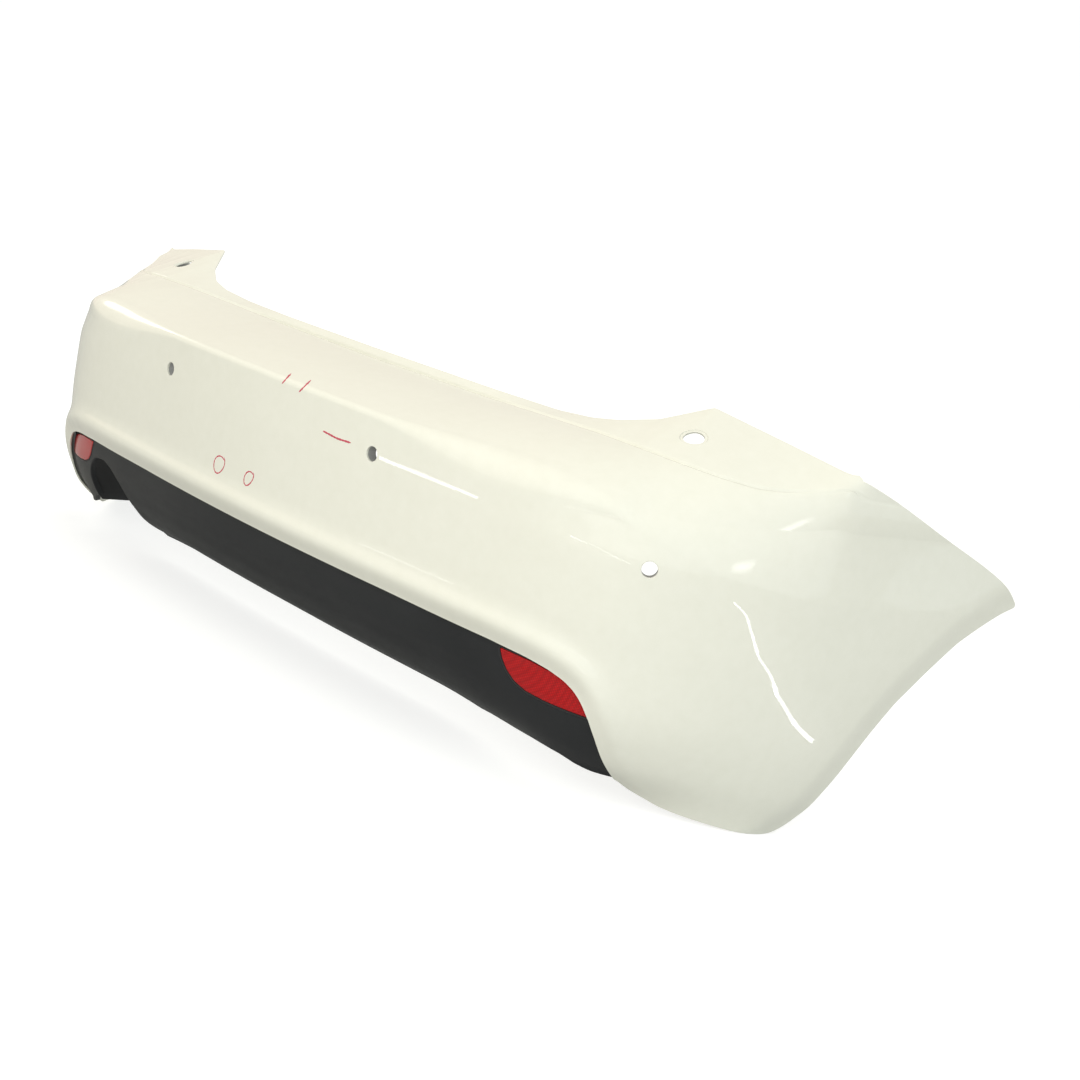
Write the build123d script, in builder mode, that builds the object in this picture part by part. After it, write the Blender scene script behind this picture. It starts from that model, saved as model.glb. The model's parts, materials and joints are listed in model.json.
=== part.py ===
from build123d import *
import math
import os
from bisect import bisect_right

os.makedirs("parts", exist_ok=True)

# ---------------------------------------------------------------- driving dimensions (mm)
SKIN_T = 3.2            # wall of the painted skin
INSERT_T = 2.8          # wall of the lower insert
SENSOR_BORE = 20.0      # parking sensor hole
SENSOR_S = (239.0, 672.0)      # arc length of the inner and outer sensor holes from the middle
SENSOR_Z = (321.0, 300.5)      # their heights on the skin, before the frame lift
FLANGE_BORE = 28.0      # fixing hole in each lamp flange
FLANGE_RING = 37.0      # shallow seat around it
ARCH_FLANGE = 18.0      # width of the return flange round the wheel arch
ARCH_BORE = 5.5         # liner screw hole in the arch flange
RIVET_BORE = 8.0        # push rivet hole in the joint of skin and insert
RIVET_S = (-390.0, -130.0, 130.0, 390.0)          # push rivets along the top of the insert
SCREW_S = (-520.0, -260.0, 0.0, 260.0, 520.0)     # screws between them
JOINT_Z = 177.5         # height of that row of fixings, before the frame lift
FLANGE_HOLE = (631.5, 0.437)   # station and share of the flange's width
ZONE_X, ZONE_Y = 470.0, 0.0     # planes between the zones of the skin
Y_SHIFT = -85.6         # puts the frame origin in the middle of the depth
Z_SHIFT = 20.0          # puts the lowest edge of the cheeks on z = 0

# plan curve of the widest line of the skin: heading in degrees against arc length
PHI_S = [0, 240, 400, 480, 540, 600, 650, 671, 720, 800, 880, 943, 1100, 1330]
PHI_A = [0, 4.0, 6.0, 9.5, 18, 27, 35, 40, 47, 58, 68, 74, 78.5, 81]
# direction of the section planes, degrees from straight ahead
PSI_S = [0, 480, 680, 860, 960, 1330]
PSI_A = [0, 6, 21, 36, 42, 52]
REAR_Y = -250.0
# crease under the shelf: height and inset
CR_S = [0, 500, 600, 655, 760, 840, 920, 1000, 1340]
CR_Z = [375, 375, 366, 354, 346, 346, 352, 360, 380]
CR_T = [0, 0, 4, 9, 10, 9, 9, 10, 14]
# rounding of the crease, as the run on each side of it
CR_R = ([0, 480, 600, 655, 760, 860, 921, 1340], [7, 7, 10, 16, 30, 40, 50, 60])
# inset of the wall from the widest line: heights, then one row for each station
ZR = [-20, 18, 25, 37, 54, 69, 90, 116, 146, 179, 223, 276, 302, 329, 354, 375, 420, 480]
WALL_S = [0, 480, 655, 800, 943, 1340]
WALL = [
    [108, 86, 81, 73, 62, 53, 43, 34, 23, 17, 12.5, 7.5, 5, 3, 1.2, 0, 0, 0],
    [108, 86, 81, 73, 62, 53, 43, 34, 23, 17, 12.5, 7.5, 5, 3, 1.2, 0, 0, 0],
    [110, 70, 58, 46, 36, 28.6, 20, 13.5, 10.5, 8, 4, 1.7, 1, 4.5, 9, 12, 14, 16],
    [66, 47, 41, 34, 27, 22, 15.5, 10, 6.5, 4, 2, 1.5, 2.5, 5, 9, 11, 13, 16],
    [40, 27, 24, 20.5, 16.5, 13.5, 10, 7, 4.5, 2.5, 1, 2, 3, 5.5, 8.5, 10.5, 14, 18.5],
    [30, 22, 20, 17, 14, 12, 9, 6, 4, 2, 1, 2.5, 4.5, 7, 10, 12.5, 18, 27],
]
# edge of the lower opening: arc length and height
LIP = [(0, 152), (300, 152), (480, 150), (540, 147), (575, 142), (600, 135), (618, 125),
       (632, 111), (641, 97), (652, 76), (664, 50), (681, 17), (697, -20)]
# flare beside that edge: distance from it, and offset of the wall
FLARE_D = [0, 8, 17, 25, 32, 42, 54]
FLARE_T = [4, 0, -4.5, -7, -5.5, -2, 0]
# bottom edge of the cheeks
BOT_S = [0, 681, 700, 721, 755, 821, 888, 940, 1340]
BOT_Z = [17, 17, 8, 1, -8, -14, -19, -20, -20]
# step between shelf and lamp flange, and the free upper edge (right half: x, y, z)
STEP_LINE = [(0, -62, 418), (240, -55, 419), (356, -62, 423), (471, -74, 427), (545, -76, 427),
             (600, -68, 425), (654, -48, 422), (690, -25, 421), (716, 0, 425), (742, 30, 434),
             (764, 55, 447), (776, 74, 458)]
TOP_EDGE = [(0, -50, 430), (240, -42, 430), (356, -32, 431), (420, -37, 437), (461, -31, 445),
            (505, -7, 460), (552, 39, 492), (670, 56, 475), (782, 78, 457)]
END_S = 920.0           # station where the free upper edge meets the seam
# seam with the wing and outline of the wheel arch, seen from the side (y, z)
SEAM = [(76, 458.5), (137, 440), (180, 425), (226, 409), (275, 393), (326, 376), (377, 356), (408, 339)]
ARCH = [(421, 328), (396, 313), (351, 289), (317, 267), (291, 244), (268, 222), (248, 200),
        (229, 178), (215, 156), (202, 134), (191, 112), (181, 90), (172, 68), (162, 45),
        (152, 20), (134, -4)]
# lower insert: heights, then inset rows for each station
INS_Z = [20, 30, 45, 60, 80, 96, 106, 120, 135, 148, 158, 190]
INS_S = [0, 300, 490, 600, 655, 705]
INS = [
    [172, 140, 108, 88, 66, 54, 47, 40, 36, 33.8, 29.5, 29.5],
    [166, 136, 106, 87, 66, 54, 47, 40, 36, 33.8, 29.5, 29.5],
    [128, 108, 87, 73, 58, 49, 44, 39, 35, 33.2, 29.5, 29.5],
    [84, 76, 64, 54, 42, 34.5, 32, 30, 28.5, 28, 27, 27],
    [77, 68, 56, 46, 35, 29, 27.5, 25.5, 24, 23, 22, 22],
    [77, 68, 56, 47, 37, 32, 30, 29, 28, 27, 26, 26],
]
# outline of a reflector on the right of the insert (x, z)
REFL = [(489, 143.5), (494, 131), (502, 118), (514, 107), (532, 100), (560, 97), (590, 96),
        (618, 95.5), (618, 106), (608, 119), (594, 130), (570, 137.5), (535, 142)]
# notch for the exhaust pipe on the left of the insert (x, z)
EXHAUST = [(-388, 0), (-388, 62), (-392, 80), (-404, 102), (-424, 118), (-450, 124), (-478, 120),
           (-501, 105), (-517, 87), (-528, 66), (-533, 46), (-533, 0)]
EXHAUST_BACK = -120.0    # how far forward the shield behind the notch reaches


def table(xs, ys, x):
    """Monotone cubic lookup."""
    n = len(xs)
    if x <= xs[0]:
        return ys[0]
    if x >= xs[-1]:
        return ys[-1]
    i = bisect_right(xs, x) - 1

    def secant(k):
        return (ys[k + 1] - ys[k]) / (xs[k + 1] - xs[k])

    def slope(k):
        if k == 0:
            return secant(0)
        if k == n - 1:
            return secant(n - 2)
        a, b = secant(k - 1), secant(k)
        if a * b <= 0:
            return 0.0
        h0, h1 = xs[k] - xs[k - 1], xs[k + 1] - xs[k]
        w1, w2 = 2 * h1 + h0, h1 + 2 * h0
        return (w1 + w2) / (w1 / a + w2 / b)

    h = xs[i + 1] - xs[i]
    t = (x - xs[i]) / h
    return ((1 + 2 * t) * (1 - t) ** 2 * ys[i] + t * (1 - t) ** 2 * h * slope(i)
            + t * t * (3 - 2 * t) * ys[i + 1] + t * t * (t - 1) * h * slope(i + 1))


PLAN = [(0.0, REAR_Y)]
for _i in range(670):
    _a = math.radians(table(PHI_S, PHI_A, (_i + 0.5) * 2.0))
    PLAN.append((PLAN[-1][0] + 2.0 * math.cos(_a), PLAN[-1][1] + 2.0 * math.sin(_a)))


def base(s):
    q = abs(s) / 2.0
    k = min(int(q), len(PLAN) - 2)
    f = q - k
    x = PLAN[k][0] + (PLAN[k + 1][0] - PLAN[k][0]) * f
    y = PLAN[k][1] + (PLAN[k + 1][1] - PLAN[k][1]) * f
    return (-x if s < 0 else x), y


def inward(s):
    a = math.radians(table(PSI_S, PSI_A, abs(s)))
    return (math.sin(a) if s < 0 else -math.sin(a)), math.cos(a)


def skew(s):
    """Thickness in a section plane for one millimetre across the wall."""
    a = table(PHI_S, PHI_A, abs(s)) - table(PSI_S, PSI_A, abs(s))
    return 1.0 / math.cos(math.radians(a))


def flare(s, z):
    s = abs(s)
    best, side = 1e9, 1.0
    for (a, b), (c, d) in zip(LIP, LIP[1:]):
        us, uz = c - a, d - b
        t = max(0.0, min(1.0, ((s - a) * us + (z - b) * uz) / (us * us + uz * uz)))
        e = math.hypot(s - a - us * t, z - b - uz * t)
        if e < best:
            best, side = e, (1.0 if us * (z - b) - uz * (s - a) >= 0 else -1.0)
    if best * side > 54:
        return 0.0
    amp = table([-20, 17, 60, 110, 134, 400], [0.25, 0.3, 0.45, 0.85, 1, 1], z) if s > 590 else 1.0
    return amp * table(FLARE_D, FLARE_T, max(0.0, best * side))


def wall(s, z):
    return table(WALL_S, [table(ZR, row, z) for row in WALL], abs(s)) + flare(s, z)


def crossing(s, line):
    """Where the section plane at s meets a polyline seen in plan: (inset, height)."""
    x0, y0 = base(abs(s))
    dx, dy = inward(abs(s))
    for a, b in zip(line, line[1:]):
        ex, ey = b[0] - a[0], b[1] - a[1]
        det = -dx * ey + dy * ex
        if abs(det) < 1e-9:
            continue
        rx, ry = a[0] - x0, a[1] - y0
        t = (-rx * ey + ry * ex) / det
        u = (dx * ry - dy * rx) / det
        if -1e-6 <= u <= 1.000001 and t > -40:
            return t, a[2] + (b[2] - a[2]) * u
    return None


def skin_profile(s):
    """Outer section of the skin at station s, from the bottom to the free edge."""
    s = abs(s)
    zb = table(BOT_S, BOT_Z, s)
    zv, tv = table(CR_S, CR_Z, s), table(CR_S, CR_T, s)
    run = table(CR_R[0], CR_R[1], s)
    pts = [(wall(s, zb) + 9.0, zb), (wall(s, zb + 4) + 2.0, zb + 4)]
    za = zb + 14
    heights = [za, 40, 62, 84, 106, 124, 138, 147, 155, 163, 171, 180, 192, 210, 236, 268]
    pts += [(wall(s, z), z) for z in heights]
    top = zv - run
    for f in (0.5, 1.0):
        z = 268 + (top - 268) * f
        pts.append((wall(s, z), z))
    if s <= END_S:
        edge = crossing(s, TOP_EDGE)
        step = crossing(s, STEP_LINE)
        if step is None or step[1] > edge[1] - 4 or edge[0] - step[0] < 6:
            step = (tv + (edge[0] - tv) * 0.62, zv + (edge[1] - zv) * 0.80)
    else:
        edge = (wall(s, 478), 478)
        step = (wall(s, 440), 440)
    a = pts[-1]
    ln = math.hypot(step[0] - tv, step[1] - zv)
    f0 = min(run / ln, 0.45)
    b = (tv + (step[0] - tv) * f0, zv + (step[1] - zv) * f0)
    for u in (0.33, 0.66):
        pts.append(((1 - u) ** 2 * a[0] + 2 * u * (1 - u) * tv + u * u * b[0],
                    (1 - u) ** 2 * a[1] + 2 * u * (1 - u) * zv + u * u * b[1]))
    pts.append(b)
    nx, nz = -(step[1] - zv) / ln, (step[0] - tv) / ln
    for u in (0.25, 0.5, 0.75, 1.0):
        bulge = 0.022 * ln * 4 * u * (1 - u)
        pts.append((b[0] + (step[0] - b[0]) * u + nx * bulge, b[1] + (step[1] - b[1]) * u + nz * bulge))
    for u in (0.5, 1.0):
        pts.append((step[0] + (edge[0] - step[0]) * u, step[1] + (edge[1] - step[1]) * u))
    return pts


def offset_line(pts, d):
    """Shift an open section line to its inner side by d."""
    out = []
    for i, p in enumerate(pts):
        a, b = pts[max(i - 1, 0)], pts[min(i + 1, len(pts) - 1)]
        tx, tz = b[0] - a[0], b[1] - a[1]
        n = math.hypot(tx, tz)
        out.append((p[0] + tz / n * d, p[1] - tx / n * d))
    return out


def at(s, t, z):
    """Point in the frame from arc length, inset and height."""
    x, y = base(s)
    dx, dy = inward(s)
    return Vector(x + dx * t, y + dy * t + Y_SHIFT, z + Z_SHIFT)


def section_plane(s):
    dx, dy = inward(s)
    return Plane(origin=at(s, 0, 0), x_dir=(dx, dy, 0), z_dir=(dy, -dx, 0))


def normal_at(s, z, f=wall):
    """Outward unit normal of a surface given by its inset."""
    p = at(s, f(s, z), z)
    u = at(s + 4, f(s + 4, z), z) - at(s - 4, f(s - 4, z), z)
    v = at(s, f(s, z + 4), z + 4) - at(s, f(s, z - 4), z - 4)
    n = u.cross(v).normalized()
    if n.dot(Vector(p.X, p.Y - 100, 0)) < 0:
        n = n * -1
    return p, n




def arch_x(i):
    """Distance of the skin from the middle plane at a point of the wheel arch outline."""
    y, z = ARCH[i]
    lo, hi = 700.0, 1335.0
    for _ in range(40):
        mid = (lo + hi) / 2
        if at(mid, wall(mid, z), z).Y < y + Y_SHIFT:
            lo = mid
        else:
            hi = mid
    return at(lo, wall(lo, z), z).X


def arch_plane(i, side):
    """Section plane of the arch flange: x inward from the skin, -y away from the wheel."""
    a, b = ARCH[max(i - 1, 0)], ARCH[min(i + 1, len(ARCH) - 1)]
    d = (b[0] - a[0], b[1] - a[1])
    y, z = ARCH[i]
    return Plane(origin=(side * arch_x(i), y + Y_SHIFT, z + Z_SHIFT), x_dir=(-side, 0, 0),
                 z_dir=(0, d[0] * side, d[1] * side))


def arch_face(i, side, depth=0.0):
    """Plane on the wheel side of the arch flange, in the middle of its width."""
    q = arch_plane(i, side)
    up = side if side > 0 else side
    o = q.origin + q.x_dir * (ARCH_FLANGE * 0.58) + q.y_dir * (-0.15 - depth)
    return Plane(origin=o, x_dir=q.x_dir, z_dir=q.y_dir)


ARCH_HOLES = (3, 7, 11)


def flange_point(s, u):
    pts = skin_profile(s)
    a, b = pts[26], pts[28]
    return at(s, a[0] + (b[0] - a[0]) * u, a[1] + (b[1] - a[1]) * u)


SENSORS = []
for _s, _z in ((-SENSOR_S[1], SENSOR_Z[1]), (-SENSOR_S[0], SENSOR_Z[0]),
               (SENSOR_S[0], SENSOR_Z[0]), (SENSOR_S[1], SENSOR_Z[1])):
    _p, _n = normal_at(_s, _z)
    SENSORS.append((_p, _n, Plane(origin=_p, x_dir=Vector(0, 0, 1).cross(_n), z_dir=_n)))
FLANGE_PLANES = []
for _side in (-1, 1):
    _s, _u = FLANGE_HOLE
    _p = flange_point(_s, _u)
    _n = ((flange_point(_s + 5, _u) - flange_point(_s - 5, _u)).cross(
        flange_point(_s, _u + 0.1) - flange_point(_s, _u - 0.1))).normalized()
    if _n.Z < 0:
        _n = _n * -1
    _p, _n = Vector(_side * _p.X, _p.Y, _p.Z), Vector(_side * _n.X, _n.Y, _n.Z)
    FLANGE_PLANES.append(Plane(origin=_p, x_dir=(1, 0, -_n.X / _n.Z), z_dir=_n))


def insert_t(s, z):
    return table(INS_S, [table(INS_Z, row, z) for row in INS], abs(s))


INS_H = [187, 181, 175, 169, 164, 159, 154, 148, 141, 134, 127, 120, 113, 106, 101, 96, 90, 82, 74, 66, 58, 50, 43,
         37, 31, 26, 21]


def insert_profile(s, depth=0.0, top=200.0, bottom=0.0):
    """Outer section line of the insert from the top down, shifted inward by depth."""
    pts = [(insert_t(s, z), z) for z in INS_H if bottom <= z <= top]
    if bottom < 20:
        pts.append((insert_t(s, 20) + 9, 18.0))
    if depth:
        pts = [(2 * p[0] - q[0], 2 * p[1] - q[1]) for p, q in
               zip(pts, offset_line(pts, depth * skew(s)))]
    return pts


def joint_plane(s, t):
    """Plane square to the joint flange at station s, facing the inside of the car."""
    a = math.radians(table(PHI_S, PHI_A, abs(s)))
    n = Vector((math.sin(a) if s < 0 else -math.sin(a)), math.cos(a), 0)
    return Plane(origin=at(s, 29.5, JOINT_Z) + n * (t - 29.5), x_dir=n.cross(Vector(0, 0, 1)), z_dir=n)


HALF = [0, 70, 140, 210, 280, 350, 420, 470, 505, 530, 550, 568, 584, 598, 610, 622, 634, 646, 658,
        670, 682, 696, 712, 730, 750, 772, 796, 820, 844, 868, 892, 908, 920, 945, 975, 1010, 1050,
        1100, 1150, 1200, 1250, 1300]
STATIONS = [-s for s in HALF[:0:-1]] + HALF

# ---------------------------------------------------------------- painted skin
with BuildPart() as cover_skin:
    for s in STATIONS:
        with BuildSketch(section_plane(s)):
            outer = skin_profile(s)
            inner = offset_line(outer, SKIN_T * skew(s))
            with BuildLine():
                for pts in (outer, inner):
                    Spline(*pts[:20])
                    Spline(*pts[19:23])
                    Spline(*pts[22:27])
                    Polyline(pts[26], pts[28])
                Line(outer[0], inner[0])
                Line(outer[28], inner[28])
            make_face()
    loft(ruled=True)
    # lower opening
    with BuildSketch(Plane.XZ.offset(-40)):
        with BuildLine():
            right = [(at(s, wall(s, z), z).X, z + Z_SHIFT) for s, z in LIP[1:]]
            left = [(-x, z) for x, z in reversed(right)]
            Polyline(*left, *right, (right[-1][0], -60), (left[0][0], -60), close=True)
        make_face()
    extrude(amount=400, mode=Mode.SUBTRACT)
    # seam and wheel arch, cut from each side
    outline = SEAM + ARCH + [(112, -40), (112, -90), (620, -90), (620, 640), (76, 640)]
    with BuildSketch(Plane.YZ.offset(700)):
        with BuildLine():
            Polyline(*[(y + Y_SHIFT, z + Z_SHIFT) for y, z in outline], close=True)
        make_face()
    extrude(amount=260, mode=Mode.SUBTRACT)
    with BuildSketch(Plane.YZ.offset(-700)):
        with BuildLine():
            Polyline(*[(y + Y_SHIFT, z + Z_SHIFT) for y, z in outline], close=True)
        make_face()
    extrude(amount=-260, mode=Mode.SUBTRACT)
    # return flange round each wheel arch
    for side in (-1, 1):
        for i in range(1, len(ARCH)):
            with BuildSketch(arch_plane(i, side)):
                with Locations(((1.2 + ARCH_FLANGE) / 2, -SKIN_T / 2 - 0.15)):
                    Rectangle(ARCH_FLANGE - 1.2, SKIN_T)
        loft(ruled=True)
        for i in ARCH_HOLES:
            with BuildSketch(arch_face(i, side)):
                Circle(ARCH_BORE / 2)
            extrude(amount=12, both=True, mode=Mode.SUBTRACT)
    # sensor holes
    for p, n, plane in SENSORS:
        with BuildSketch(plane):
            Circle(SENSOR_BORE / 2)
        extrude(amount=20, both=True, mode=Mode.SUBTRACT)
    # lamp flange holes with their shallow seat
    for plane in FLANGE_PLANES:
        with BuildSketch(plane):
            Circle(FLANGE_BORE / 2)
        extrude(amount=20, both=True, mode=Mode.SUBTRACT)
        with BuildSketch(plane.offset(-1.1)):
            Circle(FLANGE_RING / 2)
        extrude(amount=12, mode=Mode.SUBTRACT)

# the one moulding is handed over in five zones, cut by plain planes
with BuildPart() as skin_middle:
    add(cover_skin.part)
    split(bisect_by=Plane.YZ.offset(-ZONE_X), keep=Keep.TOP)
    split(bisect_by=Plane.YZ.offset(ZONE_X), keep=Keep.BOTTOM)
skin_middle.part.label = "skin_middle"
export_step(skin_middle.part, "parts/skin_middle.step")
for side, word in ((-1, "left"), (1, "right")):
    with BuildPart() as skin_end:
        add(cover_skin.part)
        split(bisect_by=Plane.YZ.offset(side * ZONE_X), keep=Keep.TOP if side > 0 else Keep.BOTTOM)
    for name, keep in (("skin_corner_", Keep.TOP), ("skin_side_", Keep.BOTTOM)):
        with BuildPart() as zone:
            add(skin_end.part)
            split(bisect_by=Plane.XZ.offset(-ZONE_Y), keep=keep)
        zone.part.label = name + word
        export_step(zone.part, "parts/" + name + word + ".step")

# ---------------------------------------------------------------- lower insert
INS_HALF = [0, 80, 160, 240, 320, 400, 450, 490, 520, 550, 575, 600, 620, 640, 660, 680, 702]
INS_STATIONS = [-s for s in INS_HALF[:0:-1]] + INS_HALF
with BuildPart() as lower_insert:
    for s in INS_STATIONS:
        with BuildSketch(section_plane(s)):
            outer = insert_profile(s)
            inner = insert_profile(s, INSERT_T)
            with BuildLine():
                Spline(*outer)
                Spline(*inner)
                Line(outer[0], inner[0])
                Line(outer[-1], inner[-1])
            make_face()
    loft(ruled=True)
    # windows for the reflectors and the exhaust notch
    for side in (-1, 1):
        with BuildSketch(Plane.XZ.offset(-40)):
            with BuildLine():
                Polyline(*[(side * x, z + Z_SHIFT) for x, z in REFL], close=True)
            make_face()
        extrude(amount=400, mode=Mode.SUBTRACT)
    with BuildSketch(Plane.XZ.offset(-140)):
        with BuildLine():
            Polyline(*[(x, z + Z_SHIFT) for x, z in EXHAUST], close=True)
        make_face()
    extrude(amount=500, mode=Mode.SUBTRACT)
    # fixing holes along the joint with the skin
    for s in RIVET_S:
        with BuildSketch(joint_plane(s, 30)):
            Circle(RIVET_BORE / 2 + 0.1)
        extrude(amount=8, both=True, mode=Mode.SUBTRACT)
    for s in SCREW_S:
        with BuildSketch(joint_plane(s, 30)):
            Circle(2.3)
        extrude(amount=8, both=True, mode=Mode.SUBTRACT)
lower_insert.part.label = "lower_insert"
export_step(lower_insert.part, "parts/lower_insert.step")

# ---------------------------------------------------------------- reflectors
REFL_STATIONS = [472, 490, 505, 520, 535, 550, 565, 580, 595, 610, 625, 645]
for side, word in ((-1, "left"), (1, "right")):
    for name, d0, d1, grow in (("reflector_lens_", -0.8, 2.5, -0.6), ("reflector_base_", 3.3, 9.0, 3.0)):
        with BuildPart() as piece:
            for s in REFL_STATIONS:
                with BuildSketch(section_plane(side * s)):
                    outer = insert_profile(side * s, d0, 156, 84)
                    inner = insert_profile(side * s, d1, 156, 84)
                    with BuildLine():
                        Spline(*outer)
                        Spline(*inner)
                        Line(outer[0], inner[0])
                        Line(outer[-1], inner[-1])
                    make_face()
            loft(ruled=True)
            with BuildSketch(Plane.XZ.offset(-40)):
                with BuildLine():
                    Polyline(*[(side * x, z + Z_SHIFT) for x, z in REFL], close=True)
                make_face()
                offset(amount=grow, kind=Kind.INTERSECTION)
            extrude(amount=400, mode=Mode.INTERSECT)
        piece.part.label = name + word
        export_step(piece.part, "parts/" + name + word + ".step")

# ---------------------------------------------------------------- sensor brackets
for i, (p, n, plane) in enumerate(SENSORS):
    gap, plate = (5.0, 19.0) if i in (0, 3) else (4.0, 22.0)
    with BuildPart() as holder:
        with BuildSketch(plane.offset(-gap)):
            Circle(plate)
            Circle(10.6, mode=Mode.SUBTRACT)
        extrude(amount=-2.4)
        with BuildSketch(plane.offset(-gap - 2.4)):
            Circle(14.5)
            Circle(10.6, mode=Mode.SUBTRACT)
        extrude(amount=-12)
        with BuildSketch(plane.offset(-gap - 14.4)):
            with PolarLocations(16.4, 2):
                Rectangle(3.6, 9)
        extrude(amount=12.5)
        with BuildSketch(plane.offset(-gap - 9)):
            Rectangle(60, 5)
            Circle(13.0, mode=Mode.SUBTRACT)
            with Locations((21, 0), (-21, 0)):
                Rectangle(6, 20, mode=Mode.SUBTRACT)
            with Locations((27, 0), (-27, 0)):
                Rectangle(8, 20, mode=Mode.SUBTRACT)
        extrude(amount=3)
    holder.part.label = "sensor_holder_%d" % (i + 1)
    export_step(holder.part, "parts/sensor_holder_%d.step" % (i + 1))

# ---------------------------------------------------------------- joint of skin and insert
with BuildPart() as joint_bosses:
    for s in RIVET_S + SCREW_S:
        with BuildSketch(joint_plane(s, 18.2)):
            Rectangle(20, 12)
            Circle(RIVET_BORE / 2 if s in RIVET_S else 2.05, mode=Mode.SUBTRACT)
        extrude(amount=11.0)
joint_bosses.part.label = "joint_bosses"
export_step(joint_bosses.part, "parts/joint_bosses.step")

HEAD_T = 29.5 + INSERT_T + 0.6      # inset of the inner face of the joint flange
with BuildPart() as rivet_bodies:
    for s in RIVET_S:
        with BuildSketch(joint_plane(s, HEAD_T)):
            Circle(8.5)
            Circle(2.3, mode=Mode.SUBTRACT)
        extrude(amount=2.2)
        with BuildSketch(joint_plane(s, HEAD_T)):
            Circle(RIVET_BORE / 2 - 0.1)
            Circle(2.3, mode=Mode.SUBTRACT)
        extrude(amount=-12.5)
rivet_bodies.part.label = "rivet_bodies"
export_step(rivet_bodies.part, "parts/rivet_bodies.step")

for i, s in enumerate(RIVET_S):
    with BuildPart() as pin:
        with BuildSketch(joint_plane(s, HEAD_T + 2.3)):
            Circle(5.0)
        extrude(amount=1.6)
        with BuildSketch(joint_plane(s, HEAD_T + 2.3)):
            Circle(2.1)
        extrude(amount=-14.0)
        fillet(pin.edges().filter_by(GeomType.CIRCLE).group_by(SortBy.RADIUS)[-1], 0.5)
    pin.part.label = "rivet_pin_%d" % (i + 1)
    export_step(pin.part, "parts/rivet_pin_%d.step" % (i + 1))

with BuildPart() as insert_screws:
    for s in SCREW_S:
        with BuildSketch(joint_plane(s, HEAD_T)):
            Circle(6.0)
        extrude(amount=1.4)
        with BuildSketch(joint_plane(s, HEAD_T + 1.4)):
            RegularPolygon(4.6, 6)
        extrude(amount=3.2)
        with BuildSketch(joint_plane(s, HEAD_T)):
            Circle(2.0)
        extrude(amount=-12.0)
insert_screws.part.label = "insert_screws"
export_step(insert_screws.part, "parts/insert_screws.step")

# ---------------------------------------------------------------- spring nuts on the arch flanges
for side, word in ((-1, "left"), (1, "right")):
    with BuildPart() as nuts:
        for i in ARCH_HOLES:
            q = arch_plane(i, side)
            c = q.origin + q.x_dir * (ARCH_FLANGE * 0.58 + 2.4) + q.y_dir * (-0.15 - SKIN_T / 2)
            u = Plane(origin=c, x_dir=q.x_dir, z_dir=q.z_dir)
            with BuildSketch(u.offset(-5.0)):
                with Locations((1.5, 0)):
                    Rectangle(15.4, SKIN_T + 4.2)
                with Locations((-1.5, 0)):
                    Rectangle(17.4, SKIN_T + 2.0, mode=Mode.SUBTRACT)
            extrude(amount=10)
            with BuildSketch(arch_face(i, side, SKIN_T + 2.1)):
                Circle(4.2)
            extrude(amount=-4.0)
            with BuildSketch(arch_face(i, side)):
                Circle(2.1)
            extrude(amount=14, both=True, mode=Mode.SUBTRACT)
    nuts.part.label = "arch_nuts_" + word
    export_step(nuts.part, "parts/arch_nuts_" + word + ".step")

# ---------------------------------------------------------------- shield behind the exhaust notch
with BuildPart() as exhaust_shield:
    for s in (-640, -600, -560, -520, -480, -440, -400, -360, -320):
        front = insert_profile(s, INSERT_T + 0.8, 150, 24)
        with BuildSketch(section_plane(s)):
            with BuildLine():
                Polyline(*front)
                Polyline(front[-1], (260, front[-1][1]), (260, front[0][1]), front[0])
            make_face()
    loft(ruled=True)
    # arch-shaped wall round the notch
    arch = EXHAUST[1:-1]
    near, far = [], []
    for i, p in enumerate(arch):
        a, b = arch[max(i - 1, 0)], arch[min(i + 1, len(arch) - 1)]
        n = math.hypot(b[0] - a[0], b[1] - a[1])
        nx, nz = (b[1] - a[1]) / n, -(b[0] - a[0]) / n
        near.append((p[0] + nx * 1.2, p[1] + nz * 1.2 + Z_SHIFT))
        far.append((p[0] + nx * 3.6, p[1] + nz * 3.6 + Z_SHIFT))
    with BuildSketch(Plane.XZ.offset(-40)):
        with BuildLine():
            Polyline(*near, *far[::-1], close=True)
        make_face()
    extrude(amount=400, mode=Mode.INTERSECT)
    # trimmed square at the back
    with BuildSketch(Plane.XZ.offset(-EXHAUST_BACK)):
        Rectangle(1600, 1200)
    extrude(amount=-400, mode=Mode.SUBTRACT)
exhaust_shield.part.label = "exhaust_shield"
export_step(exhaust_shield.part, "parts/exhaust_shield.step")
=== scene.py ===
import json
import math

import bpy
import numpy as np
from mathutils import Matrix, Vector


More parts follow.
